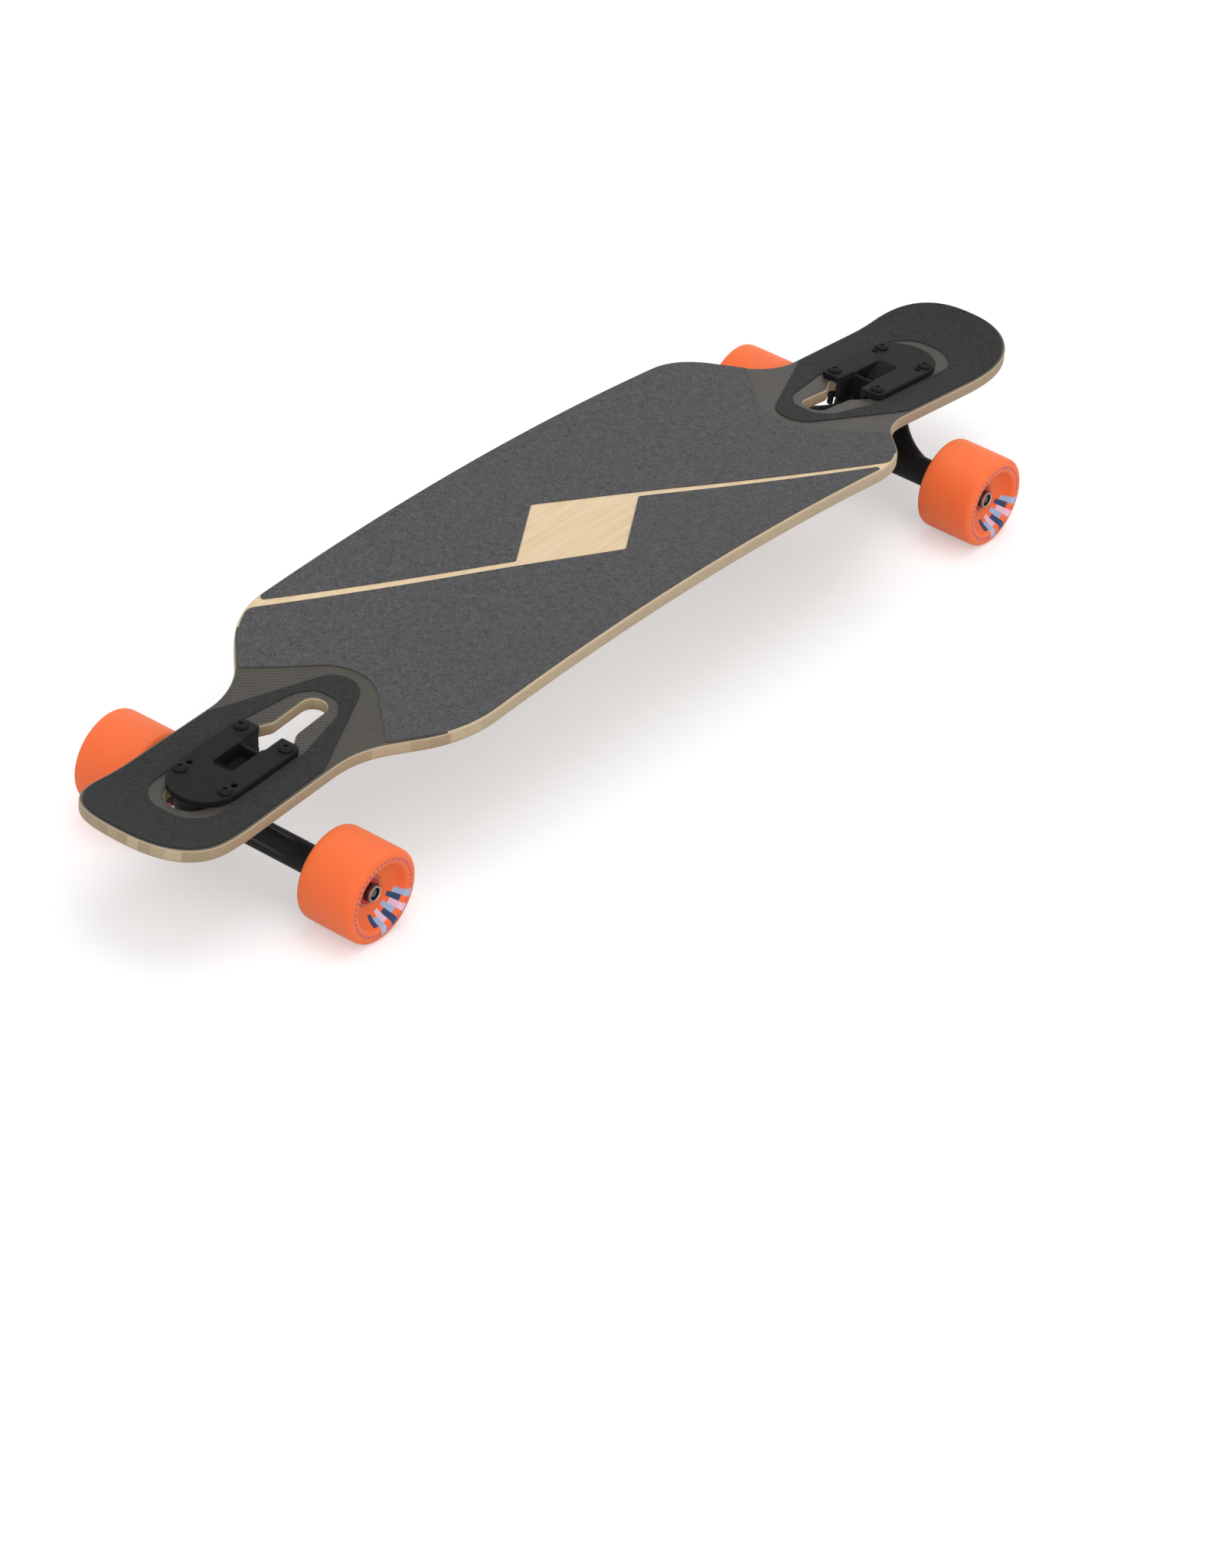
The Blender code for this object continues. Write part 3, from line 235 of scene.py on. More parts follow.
CAMERA_PLACE = (-2.896975, -2.108336, 2.295634)
CAMERA_AZIMUTH = -54.617
CAMERA_ELEVATION = 33.809
CAMERA_ROLL = 4.962
FOCAL_PIXELS = 7447.445
PHOTO_HEIGHT = 2048
lens = bpy.data.cameras.new("photograph")
lens.sensor_width = 36
lens.lens = FOCAL_PIXELS * lens.sensor_width / PHOTO_HEIGHT
lens.clip_end = 100
viewer = bpy.data.objects.new("photograph", lens)
turned = Matrix.Rotation(math.radians(CAMERA_AZIMUTH), 4, "Z")
tipped = Matrix.Rotation(math.radians(90 - CAMERA_ELEVATION), 4, "X")
rolled = Matrix.Rotation(math.radians(CAMERA_ROLL), 4, "Z")
viewer.matrix_world = Matrix.Translation(CAMERA_PLACE) @ turned @ tipped @ rolled
bpy.context.scene.collection.objects.link(viewer)
bpy.context.scene.camera = viewer
bpy.context.scene.view_settings.view_transform = "Standard"


# Deck: maple veneers and a core of strips stood on edge, glued and bent in a press to a camber and a concave.
# It is sawn to its outline, cut out for the trucks and rounded over. Woven cloth lies on top of both ends.
# Lengths are in millimetres unless a value says MM, and a corner is its x, y and radius.

DECK_TOP = 119.323 * MM
THICKNESS = 10.8 * MM
RIM = 2.4 * MM
CAMBER_RADIUS = 2560
CAMBER_REACH = 335
CAMBER_SLOPE = 0.13086
EASING = 10
TRUCK_SLOPE = 0.079
KICK_START = 427
KICK_RADIUS = 165
CONCAVE_START = 20
CONCAVE_RADIUS = 493


def rise(x, y):
    """The height of the bent top against its middle, at a place in metres."""
    along = abs(x) / MM
    across = abs(y) / MM
    height = -min(along, CAMBER_REACH) ** 2 / (2 * CAMBER_RADIUS)
    eased = min(max(along - CAMBER_REACH, 0), EASING)
    height -= CAMBER_SLOPE * eased + (TRUCK_SLOPE - CAMBER_SLOPE) * eased**2 / (2 * EASING)
    height -= TRUCK_SLOPE * max(along - CAMBER_REACH - EASING, 0)
    height += max(along - KICK_START, 0) ** 2 / (2 * KICK_RADIUS)
    height += max(across - CONCAVE_START, 0) ** 2 / (2 * CONCAVE_RADIUS)
    return height * MM


def rounded(corners):
    """Points of a closed outline from (x, y, radius) corners in millimetres, each rounded by its radius."""
    points = []
    arc_step = math.radians(4)
    for index, (x, y, radius) in enumerate(corners):
        here = Vector((x, y))
        arriving = (here - Vector(corners[index - 1][:2])).normalized()
        leaving = (Vector(corners[(index + 1) % len(corners)][:2]) - here).normalized()
        turn = math.atan2(arriving.cross(leaving), arriving.dot(leaving))
        if not radius or abs(turn) < 0.01:
            points.append(here)
            continue
        side = Vector((-arriving.y, arriving.x)) * math.copysign(radius, turn)
        start = here - arriving * radius * math.tan(abs(turn) / 2)
        steps = max(3, math.ceil(abs(turn) / arc_step))
        for step in range(steps + 1):
            points.append(start + side - Matrix.Rotation(turn * step / steps, 2) @ side)
    return [point * MM for point in points]


def both_sides(half):
    return half + [(x, -y, radius) for x, y, radius in reversed(half)]


def both_ends(quarter):
    return both_sides(quarter + [(-x, y, radius) for x, y, radius in reversed(quarter)])


END_START = 450.5
END_REACH = 54.4
END_HALF_WIDTH = 57.4
END_STEPS = 32
BLUNTNESS = 0.8
WAIST = (316, 56, 64)
SHOULDER = (258.4, 109.4, 78)


def end_curve(inset):
    """The blunt end of the deck, moved inwards, from its tip to where its side starts."""
    curve = []
    for step in range(1, END_STEPS + 1):
        turn = math.pi / 2 * step / END_STEPS
        x = END_START + (END_REACH - inset) * math.cos(turn) ** BLUNTNESS
        y = (END_HALF_WIDTH - inset) * math.sin(turn) ** BLUNTNESS
        curve.append((x, y, 0))
    return curve


def flat_sheet(outlines, low, high, rim=0.0):
    """A flat board from closed outlines between two heights, its edges rounded over by rim."""
    curve = bpy.data.curves.new("outline", "CURVE")
    curve.dimensions = "2D"
    curve.fill_mode = "BOTH"
    curve.extrude = (high - low) / 2 - rim
    curve.offset = -rim
    curve.bevel_depth = rim
    curve.bevel_resolution = 3
    for outline in outlines:
        spline = curve.splines.new("POLY")
        spline.points.add(len(outline) - 1)
        for place, point in zip(spline.points, outline):
            place.co = (*point, 0, 1)
        spline.use_cyclic_u = True
    drawn = bpy.data.objects.new("outline", curve)
    bpy.context.scene.collection.objects.link(drawn)
    working = evaluated(drawn)
    bmesh.ops.translate(working, verts=working.verts, vec=(0, 0, (low + high) / 2))
    return working


MERGE = 0.002 * MM


def evaluated(drawn):
    """The finished mesh of a curve or of an object with modifiers, merged, and the object removed."""
    bpy.context.view_layer.update()
    mesh = bpy.data.meshes.new_from_object(drawn.evaluated_get(bpy.context.evaluated_depsgraph_get()))
    working = bmesh.new()
    working.from_mesh(mesh)
    bmesh.ops.remove_doubles(working, verts=working.verts, dist=MERGE)
    bpy.data.objects.remove(drawn)
    return working


BEND_STEP = 12
BEND_REACHES = ((Vector((1, 0, 0)), 42 * BEND_STEP), (Vector((0, 1, 0)), 9 * BEND_STEP))


def pressed(working, top_look=0, rim_look=0, sole_look=0):
    """Bends a flat sheet to the deck's shape and notes how deep under the deck's top each point lay."""
    for normal, reach in BEND_REACHES:
        for place in range(-reach, reach + 1, BEND_STEP):
            everything = working.verts[:] + working.edges[:] + working.faces[:]
            cut = {"plane_co": normal * place * MM, "plane_no": normal, "dist": 1e-6}
            bmesh.ops.bisect_plane(working, geom=everything, **cut)
    depth = working.verts.layers.float.new("depth")
    working.normal_update()
    for face in working.faces:
        upright = abs(face.normal.z) < 0.9
        face.material_index = rim_look if upright else top_look if face.normal.z > 0 else sole_look
    for vertex in working.verts:
        vertex[depth] = -vertex.co.z / MM
        vertex.co.z += DECK_TOP + rise(vertex.co.x, vertex.co.y)
    return working


def stands_for(piece, node):
    """Shows the piece instead of a CAD node, on the body that carries the node."""
    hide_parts(node)
    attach(piece, frame["nodes"][node]["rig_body"])


def maple_colour(look):
    """Pale maple: long fine grain, short pores and a soft cross ripple."""
    grain = look.cloudy(3.2, 4.0, (26, 1, 1), 0.4)
    ripple = look.cloudy(9, 1.0, (0.8, 5, 1))
    pores = look.cloudy(0.9, 2.0, (14, 1, 1)) > 0.66
    grain_tones = (0.3, tone(219, 192, 154)), (0.5, tone(225, 201, 165)), (0.72, tone(232, 210, 177))
    rippled = look.mixed(ripple * 0.25, look.ramp(grain, *grain_tones), tone(216, 188, 148))
    return look.mixed(pores * 0.14, rippled, tone(184, 148, 106)), grain


CLOTH_START = 238
CLOTH_SLANT = 0.3
WEAVE_PITCH = 4.3


def under_cloth(x, y):
    """1 where the woven cloth lies on the deck and 0 where its maple is bare."""
    return abs(x) > abs(y) * CLOTH_SLANT + CLOTH_START


deck_top = finish("maple_and_cloth", {"Specular IOR Level": 0.3})
x, y, _ = deck_top.place()
maple, grain = maple_colour(deck_top)
warp = ((x + y) * (math.tau / WEAVE_PITCH)).math("SINE")
weft = ((x - y) * (math.tau / WEAVE_PITCH)).math("SINE")
woven = warp * weft * 0.15 + warp * 0.33 + 0.5
blotched = deck_top.cloudy(14, 3.0)
cloth = deck_top.mixed(woven * 0.75 + blotched * 0.25, tone(46, 43, 37), tone(84, 80, 73))
clothed = under_cloth(x, y)
deck_top.set({"Base Color": deck_top.mixed(clothed, maple, cloth), "Roughness": 0.52 - clothed * 0.06})
deck_top.relief(clothed * woven * 0.9 + (1 - clothed) * grain * 0.25, 0.12)

STRIPS_PER_MM = 0.115
UPPER_GLUE = 1.5
LOWER_GLUE = 9.3
GLUE_HALF = 0.16
CLOTH_DEPTH = 0.7
# The rim's strip and veneer tones are set darker than the bare maple on top: partly the sawn edge's own
# colour, partly painted shade on the upright rim.
deck_rim = finish("sawn_laminate", {"Roughness": 0.6})
x, y, _ = deck_rim.place()
depth = deck_rim.node("ShaderNodeAttribute", {"attribute_name": "depth"}).output("Fac")
strip = (y * STRIPS_PER_MM + 0.4).math("FLOOR")
drawn_tone = deck_rim.node("ShaderNodeTexWhiteNoise", {"noise_dimensions": "1D"}, {"W": strip * 7.31})
strip_tones = (0.0, tone(158, 139, 111)), (0.5, tone(173, 153, 124)), (1.0, tone(192, 173, 143))
fibre = deck_rim.cloudy(1.6, 3.0, (9, 9, 1))
core = deck_rim.mixed((fibre > 0.56) * 0.2, deck_rim.ramp(drawn_tone, *strip_tones), tone(152, 128, 98))
skin = (depth < UPPER_GLUE) + (depth > LOWER_GLUE)
veneer = deck_rim.mixed(fibre, tone(179, 159, 129), tone(196, 177, 148))
glued = (abs(depth - UPPER_GLUE) < GLUE_HALF) + (abs(depth - LOWER_GLUE) < GLUE_HALF)
rim_colour_and_shade = deck_rim.mixed(skin, core, veneer)
rim_colour_and_shade = deck_rim.mixed(glued * 0.4, rim_colour_and_shade, tone(130, 106, 78))
cloth_edge = under_cloth(x, y) * (depth < CLOTH_DEPTH)
deck_rim.set({"Base Color": deck_rim.mixed(cloth_edge, rim_colour_and_shade, tone(88, 82, 72))})
deck_rim.relief(fibre, 0.1)

FIGURE_LINES = 95
BANDS_PER_MM = 0.155
BAND_LEAN = 0.004
BAND_SHARE = 0.42
PLAIN_HALF_WIDTH = 34
PLAIN_HALF_LENGTH = 60
OVAL_HALF_LENGTH = 168
OVAL_HALF_WIDTH = 62
HOOPS = 5
HOOP_SHARE = 0.46
deck_sole = finish("figured_veneer", {"Roughness": 0.33, "Coat Weight": 0.35, "Coat Roughness": 0.2})
x, y, _ = deck_sole.place()
figure = deck_sole.cloudy(46, 2.0, (2.4, 0.9, 1), 0.9)
rings = (figure * FIGURE_LINES).math("SINE")
fine = deck_sole.cloudy(1.4, 3.0, (20, 1, 1))
ground = deck_sole.mixed(fine, tone(180, 134, 84), tone(208, 164, 110))
lines = deck_sole.ramp(rings * 0.5 + 0.5, (0.55, (0, 0, 0, 1)), (0.8, (1, 1, 1, 1)))
veneer = deck_sole.mixed(lines * 0.85, ground, tone(112, 70, 46))
band_lines = (abs(y) * BANDS_PER_MM + x * BAND_LEAN).math("FRACT")
banded = (band_lines < BAND_SHARE) * (abs(y) > PLAIN_HALF_WIDTH) * (abs(x) > PLAIN_HALF_LENGTH)
veneer = deck_sole.mixed(banded * 0.8, veneer, tone(92, 58, 56))
oval = (x * x / OVAL_HALF_LENGTH**2 + y * y / OVAL_HALF_WIDTH**2).math("SQRT")
hoops = (oval * HOOPS).math("FRACT") < HOOP_SHARE
veneer = deck_sole.mixed(hoops * (oval < 1.0) * (oval > 0.6) * 0.8, veneer, tone(168, 190, 190))
veneer = deck_sole.mixed(hoops * (oval < 0.6) * (oval > 0.2) * 0.9, veneer, tone(238, 240, 240))
deck_sole.set({"Base Color": veneer})
deck_sole.relief(fine, 0.05)

quarter = [(END_START + END_REACH, 3, 0)] + end_curve(0) + [WAIST, SHOULDER]
pivot_part = [(443.5, 17.6, 17.4), (421.3, 17.6, 3)]
boss_part = [(418.5, 15.2, 3), (348, 15.2, 3)]
open_slot = [(345.2, 18, 3), (340.5, 18, 10), (327.5, 10.1, 10), (288, 9.7, 9.6)]
cutout = both_sides(pivot_part + boss_part + open_slot)
nose_cutout = rounded(cutout)
tail_cutout = rounded([(-x, -y, radius) for x, y, radius in cutout])
panel = flat_sheet([rounded(both_ends(quarter)), nose_cutout, tail_cutout], -THICKNESS, 0, RIM)
bent = pressed(panel, rim_look=1, sole_look=2)
deck = shown("deck_panel", bent, [deck_top, deck_rim, deck_sole], crease=40)
stands_for(deck, "deck")


# Grip: coarse mineral grit on adhesive paper, in two main sheets either side of a bare diagonal band with a
# bare rhombus, and one ring round each truck cutout. Each sheet is die-cut and rolled down onto the deck.

GRIP_LOW = 0.1 * MM
GRIP_HIGH = 0.8 * MM


def grit(name, dark, light):
    look = finish(name, {"Roughness": 0.9, "Specular IOR Level": 0.25})
    grains = look.cloudy(1.2, 3.0)
    patches = look.cloudy(5, 2.0)
    speck = grains * 0.75 + patches * 0.25
    look.set({"Base Color": look.ramp(speck, (0.25, dark), (0.75, light))})
    look.relief(grains, 0.3)
    return look


main_grit = grit("main_grit", tone(42, 42, 43), tone(106, 105, 107))
ring_grit = grit("ring_grit", tone(24, 24, 24), tone(64, 64, 65))


def crossing(first, second, slope, place):
    """Where the line through two points meets the line of a slope through a place."""
    run = second - first
    share = (place.y - first.y + slope * (first.x - place.x)) / (run.y - slope * run.x)
    return first + run * share


def nose_half(radius, slope):
    """Half the width of a rounded nose of a radius where its flank of a slope starts."""
    return radius * math.tan((math.pi / 2 - math.atan(slope)) / 2)


def carved(working, tool):
    """A closed shape with the tool's space taken out of it."""
    body = shown("body", working, [])
    cutter = shown("cutter", tool, [])
    cut = body.modifiers.new("cut", "BOOLEAN")
    cut.object = cutter
    cut.solver = "EXACT"
    left = evaluated(body)
    bpy.data.objects.remove(cutter)
    return left


def half_turned(working):
    """A copy that is turned half round, from one end of the board to the other."""
    turned = working.copy()
    bmesh.ops.rotate(turned, verts=turned.verts, cent=(0, 0, 0), matrix=Matrix.Rotation(math.pi, 3, "Z"))
    return turned


MAIN_INSET = 2.2
MAIN_END = 248.5
MAIN_SLANT = 1.028
MAIN_NOSE = 40
shoulder_run = Vector(WAIST[:2]) - Vector(SHOULDER[:2])
inwards = Vector((shoulder_run.y, -shoulder_run.x)).normalized() * MAIN_INSET
shoulder_edge = Vector(SHOULDER[:2]) + inwards, Vector(WAIST[:2]) + inwards
flank = Vector((MAIN_END, nose_half(MAIN_NOSE, MAIN_SLANT)))
wing = crossing(*shoulder_edge, MAIN_SLANT, flank)
rail = crossing(*shoulder_edge, 0, Vector((0, SHOULDER[1] - MAIN_INSET)))
main_quarter = [(*flank, MAIN_NOSE - 0.4), (*wing, 3), (*rail, SHOULDER[2] - MAIN_INSET)]
whole = flat_sheet([rounded(both_ends(main_quarter))], GRIP_LOW, GRIP_HIGH)
wide_corner = [(-270, 98.3, 0), (-248.2, 104.4, 12)]
rhombus_side = [(0, -44.5, 3), (67.6, -3.94, 3)]
narrow_corner = [(238.6, -106.54, 2.5), (200, -109.7, 0), (200, -300, 0)]
beyond = [(1000, -300, 0), (1000, 1000, 0), (-270, 1000, 0)]
waste = wide_corner + rhombus_side + narrow_corner + beyond
tail_sheet = pressed(carved(whole, flat_sheet([rounded(waste)], -10 * MM, 10 * MM)))
nose_sheet = half_turned(tail_sheet)
stands_for(shown("grit_tail_main", tail_sheet, [main_grit], crease=50), "grip_tail_main")
stands_for(shown("grit_nose_main", nose_sheet, [main_grit], crease=50), "grip_nose_main")

RING_INSET = 2.8
RING_END = 258
RING_SLANT = 0.447
RING_NOSE = 20
RING_HALF_WIDTH = 53.2
ring_flank = nose_half(RING_NOSE, RING_SLANT)
ring_wing = RING_END + (RING_HALF_WIDTH - ring_flank) / RING_SLANT
ring_half = [(END_START + END_REACH - RING_INSET, 3, 0)] + end_curve(RING_INSET)
ring_half += [(ring_wing, RING_HALF_WIDTH, 3), (RING_END, ring_flank, RING_NOSE - 0.2)]
window_half = [(453, 29.4, 26), (340.5, 29.4, 26), (294, 20.3, 17), (282, 9.7, 9.6)]
ring_outlines = [rounded(both_sides(ring_half)), rounded(both_sides(window_half))]
nose_ring = pressed(flat_sheet(ring_outlines, GRIP_LOW, GRIP_HIGH))
tail_ring = half_turned(nose_ring)
stands_for(shown("grit_nose_ring", nose_ring, [ring_grit], crease=50), "grip_nose_ring")
stands_for(shown("grit_tail_ring", tail_ring, [ring_grit], crease=50), "grip_tail_ring")


# Baseplates and hangers: aluminium castings, tumbled and finished in satin black. Each skin is the solid,
# filled out at its webs and heels, with every edge and inner corner softened as a mould leaves them.

ENDS = {"nose": Matrix(), "tail": Matrix.Rotation(math.pi, 4, "Z")}
PLATE_CENTRE = Vector((381.8, 0, 93.448)) * MM
PLATE_TILT = math.radians(4.517)
PLATE = Matrix.Translation(PLATE_CENTRE) @ Matrix.Rotation(PLATE_TILT, 4, "Y")
STEER_CENTRE = Vector((380.365, 0, 48.622)) * MM
STEER_TILT = math.radians(-45.484)
STEER = Matrix.Translation(STEER_CENTRE) @ Matrix.Rotation(STEER_TILT, 4, "Y")

cast_black = finish("satin_black_casting", {"Specular IOR Level": 0.13})
pitted = cast_black.cloudy(0.7, 4.0)
broad = cast_black.cloudy(9, 2.0)
mottled = broad * 0.6 + pitted * 0.4
cast_black.set({"Base Color": cast_black.mixed(mottled, tone(18, 18, 18), tone(31, 31, 32))})
cast_black.set({"Roughness": 0.46 + pitted * 0.2})
cast_black.relief(pitted, 0.06)


def joined(*parts):
    """Several shapes as one bmesh."""
    whole = parts[0]
    for part in parts[1:]:
        mesh = bpy.data.meshes.new("part")
        part.to_mesh(mesh)
        part.free()
        whole.from_mesh(mesh)
    return whole


def placed(working, *frames):
    """A shape put in its place by frames, the outermost first."""
    for place in reversed(frames):
        bmesh.ops.transform(working, matrix=place, verts=working.verts)
    return working


def cast(node, voxel, passes, added, trimmed=None):
    """A node's solid, trimmed and joined with an added form, every edge and inner corner softened."""
    solid = bmesh.new()
    solid.from_mesh(frame["nodes"][node].data)
    bmesh.ops.remove_doubles(solid, verts=solid.verts, dist=MERGE)
    if trimmed:
        solid = carved(solid, trimmed)
    skin = shown("skin", joined(solid, added), [])
    remesh = skin.modifiers.new("skin", "REMESH")
    remesh.mode = "VOXEL"
    remesh.voxel_size = voxel * MM
    soften = skin.modifiers.new("soften", "SMOOTH")
    soften.factor = 0.5
    soften.iterations = passes
    return evaluated(skin)


pocket_floor = [(13.6, 5.6, 0), (13.6, -7.8, 0), (-3, -7.8, 0), (-3, -7.2, 0)]
POCKET_HALF_WIDTH = 9.3 * MM
heel = [(55.4, 12, 11.8), (36, 12, 0)]
HEEL_LOW = -12 * MM
HEEL_HIGH = 2 * MM
boss_end = [(-60, 14, 0), (-38.5, 14, 0)]
BOSS_END_LOW = -30 * MM
BOSS_END_HIGH = -11 * MM
flare = [(34, 9, 8.9), (-8.6, 46, 66), (-9.4, 84, 0), (-25, 84, 0)]
WEB_HALF_THICKNESS = 6.8 * MM
WEB_EDGE = 6 * MM
bar_end = [(11.1, 89), (10.6, 90.1), (9.6, 90.5), (4.3, 90.5)]
bar = [(radius, -height) for radius, height in reversed(bar_end)] + bar_end
AXLE_X = 368.446
AXLE_Z = 36.5
AXLE_CENTRE = Vector((AXLE_X, 0, AXLE_Z)) * MM
SIDEWAYS = Matrix.Rotation(math.pi / 2, 4, "X")
SHARP = math.radians(28)
SEAM = 0.001 * MM


def lathed(profile, frames, steps=48, soft=0.0):
    """A profile of (radius, height) points turned about Z, its corners softened, then put in its place."""
    working = bmesh.new()
    points = [working.verts.new((radius * MM, 0, height * MM)) for radius, height in profile]
    edges = [working.edges.new(pair) for pair in zip(points, points[1:])]
    if min(radius for radius, _ in profile) > 0:
        edges.append(working.edges.new((points[-1], points[0])))
    full_turn = {"cent": (0, 0, 0), "axis": (0, 0, 1), "angle": math.tau, "steps": steps, "use_merge": True}
    bmesh.ops.spin(working, geom=points + edges, **full_turn)
    bmesh.ops.remove_doubles(working, verts=working.verts, dist=SEAM)
    bmesh.ops.recalc_face_normals(working, faces=working.faces)
    return softened(working, soft, frames)


def softened(working, soft, frames):
    """Rounds every edge that turns sharply, then puts the shape in its place."""
    if soft:
        sharp = [edge for edge in working.edges if edge.calc_face_angle(0) > SHARP]
        rounding = {"offset": soft * MM, "affect": "EDGES", "segments": 2, "profile": 0.5, "material": -1}
        bmesh.ops.bevel(working, geom=sharp, clamp_overlap=True, **rounding)
    return placed(working, *frames)


for end, turn in ENDS.items():
    wedge = flat_sheet([rounded(pocket_floor)], -POCKET_HALF_WIDTH, POCKET_HALF_WIDTH)
    wedge = placed(wedge, turn, PLATE, SIDEWAYS)
    drop = placed(flat_sheet([rounded(both_sides(heel))], HEEL_LOW, HEEL_HIGH), turn, PLATE)
    tips = placed(flat_sheet([rounded(both_sides(boss_end))], BOSS_END_LOW, BOSS_END_HIGH), turn, PLATE)
    skin = cast(f"{end}_baseplate", voxel=0.75, passes=4, added=joined(wedge, drop), trimmed=tips)
    plate = shown(f"{end}_baseplate_casting", skin, [cast_black], crease=180)
    stands_for(plate, f"{end}_baseplate")
    web = flat_sheet([rounded(both_sides(flare))], -WEB_HALF_THICKNESS, WEB_HALF_THICKNESS, WEB_EDGE)
    web = placed(web, turn, STEER)
    tube = lathed(bar, [turn, Matrix.Translation(AXLE_CENTRE), SIDEWAYS], steps=72)
    skin = cast(f"{end}_hanger", voxel=0.85, passes=32, added=joined(web, tube))
    hanger = shown(f"{end}_hanger_casting", skin, [cast_black], crease=180)
    stands_for(hanger, f"{end}_hanger")


# Axles: ground 8 mm steel rod, pressed through the hanger's bar, its ends threaded for the axle nuts.
# Each is turned about its own length and lies across the board.

THREAD_PITCH = 1.25
THREAD_START = 108.5 * MM

bright_steel = finish("ground_steel", {"Metallic": 1.0})
scratched = bright_steel.cloudy(0.5, 3.0, (1, 8, 1))
bright_steel.set({"Base Color": bright_steel.mixed(scratched, tone(176, 176, 178), tone(216, 216, 218))})
bright_steel.set({"Roughness": 0.2 + scratched * 0.2})
oiled_thread = finish("oiled_thread", {"Metallic": 1.0, "Roughness": 0.5})
_, y, _ = oiled_thread.place()
ridges = (y * (math.tau / THREAD_PITCH)).math("SINE")
# The thread's roots are painted darker than its crests, as painted shade in the grooves.
oiled_thread.set({"Base Color": oiled_thread.mixed(ridges * 0.5 + 0.5, tone(58, 54, 54), tone(104, 98, 98))})
oiled_thread.relief(ridges, 0.2)

half_rod = [(0, 119.9), (2.8, 119.9), (4, 118.7), (4, 108)]
rod = [(radius, -height) for radius, height in half_rod] + half_rod[::-1]
for end, turn in ENDS.items():
    axle = lathed(rod, [turn, Matrix.Translation(AXLE_CENTRE), SIDEWAYS], steps=32)
    for face in axle.faces:
        face.material_index = int(abs(face.calc_center_median().y) > THREAD_START)
    stands_for(shown(f"{end}_axle_rod", axle, [bright_steel, oiled_thread]), f"{end}_axle")


# Kingpin stacks: a 10 mm bolt down through the boss, two poured urethane bushings in the hanger's seats, a
# cupped plated washer outside each, and a plated nut. The pivot nose turns in a moulded plastic cup.

PIVOT = Matrix.Rotation(math.pi / 2, 4, "Y")

gold_plate = finish("gold_plate", {"Metallic": 1.0})
brushed = gold_plate.cloudy(1.2, 3.0)
gold_plate.set({"Base Color": gold_plate.mixed(brushed, tone(196, 156, 82), tone(236, 204, 128))})
gold_plate.set({"Roughness": 0.18 + brushed * 0.2})
black_steel = finish("black_oxide_steel", {"Specular IOR Level": 0.2})
worn = black_steel.cloudy(1.5, 4.0)
black_steel.set({"Base Color": black_steel.mixed(worn, tone(22, 22, 22), tone(42, 42, 43))})
black_steel.set({"Roughness": 0.4 + worn * 0.25})
black_urethane = finish("black_urethane", {"Specular IOR Level": 0.4})
poured = black_urethane.cloudy(4, 2.0)
black_urethane.set({"Base Color": black_urethane.mixed(poured, tone(24, 24, 25), tone(40, 40, 42))})
black_urethane.set({"Roughness": 0.42 + poured * 0.2})
black_plastic = finish("moulded_plastic", {"Specular IOR Level": 0.4})
flow = black_plastic.cloudy(2, 3.0)
black_plastic.set({"Base Color": black_plastic.mixed(flow, tone(28, 28, 28), tone(44, 44, 44))})
black_plastic.set({"Roughness": 0.5 + flow * 0.15})


def hexagon(width, low, high, soft, frames):
    """A hexagon head or nut between two heights, its edges softened."""
    working = bmesh.new()
    radius = width / 2 / math.cos(math.pi / 6) * MM
    bar_stock = {"segments": 6, "radius1": radius, "radius2": radius, "depth": (high - low) * MM}
    bmesh.ops.create_cone(working, cap_ends=True, **bar_stock)
    bmesh.ops.translate(working, verts=working.verts, vec=(0, 0, (low + high) / 2 * MM))
    return softened(working, soft, frames)


HEAD_WIDTH = 14
shaft = [(0, -21.7), (3.9, -21.7), (4.8, -20.8), (4.8, 32), (0, 32)]
nut_collar = [(5.1, -20.2), (6.6, -20.2), (7.0, -19.6), (7.0, -13.4), (5.1, -13.4)]
springs = {
    "boardside": [(5.1, 3.8), (12.9, 3.8), (12.5, 9.5), (12.0, 16.7), (5.1, 16.7)],
    "roadside": [(5.1, -3.8), (12.9, -3.8), (12.0, -11.2), (5.1, -11.2)],
}
cup_floors = {"boardside": (18.6, -1), "roadside": (-13.1, 1)}
CUP_HEIGHT = 1.6
CUP_WALL = 0.9
liner = [(0, 46.3), (6.0, 46.3), (6.8, 45.0), (6.8, 37.9), (9.0, 37.9), (9.0, 48.5), (0, 48.5)]
for end, turn in ENDS.items():
    here = [turn, STEER]
    kingpin = joined(lathed(shaft, here, steps=32), hexagon(HEAD_WIDTH, 29.5, 35.5, 0.6, here))
    stands_for(shown(f"{end}_kingpin_bolt", kingpin, [black_steel]), f"{end}_kingpin")
    nut = hexagon(HEAD_WIDTH, -20.0, -14.4, 0.6, here)
    nut = joined(nut, lathed(nut_collar, here, steps=32, soft=0.2))
    stands_for(shown(f"{end}_kingpin_hexnut", nut, [gold_plate]), f"{end}_kingpin_nut")
    for side, (floor, way) in cup_floors.items():
        inner = floor + way * CUP_WALL
        lip = floor + way * CUP_HEIGHT
        cup = [(5.1, floor), (10.6, floor), (12.4, lip - way * 0.2), (12.2, lip), (10.2, inner), (5.1, inner)]
        washer = shown(f"{end}_{side}_cupwasher", lathed(cup, here, soft=0.15), [gold_plate])
        stands_for(washer, f"{end}_{side}_washer")
    for side, profile in springs.items():
        spring = shown(f"{end}_{side}_spring", lathed(profile, here, soft=0.8), [black_urethane])
        stands_for(spring, f"{end}_{side}_bushing")
    pivot_cup = lathed(liner, here + [PIVOT], steps=32, soft=0.3)
    pivot_cup = shown(f"{end}_pivot_liner", pivot_cup, [black_plastic])
    stands_for(pivot_cup, f"{end}_pivot_cup")


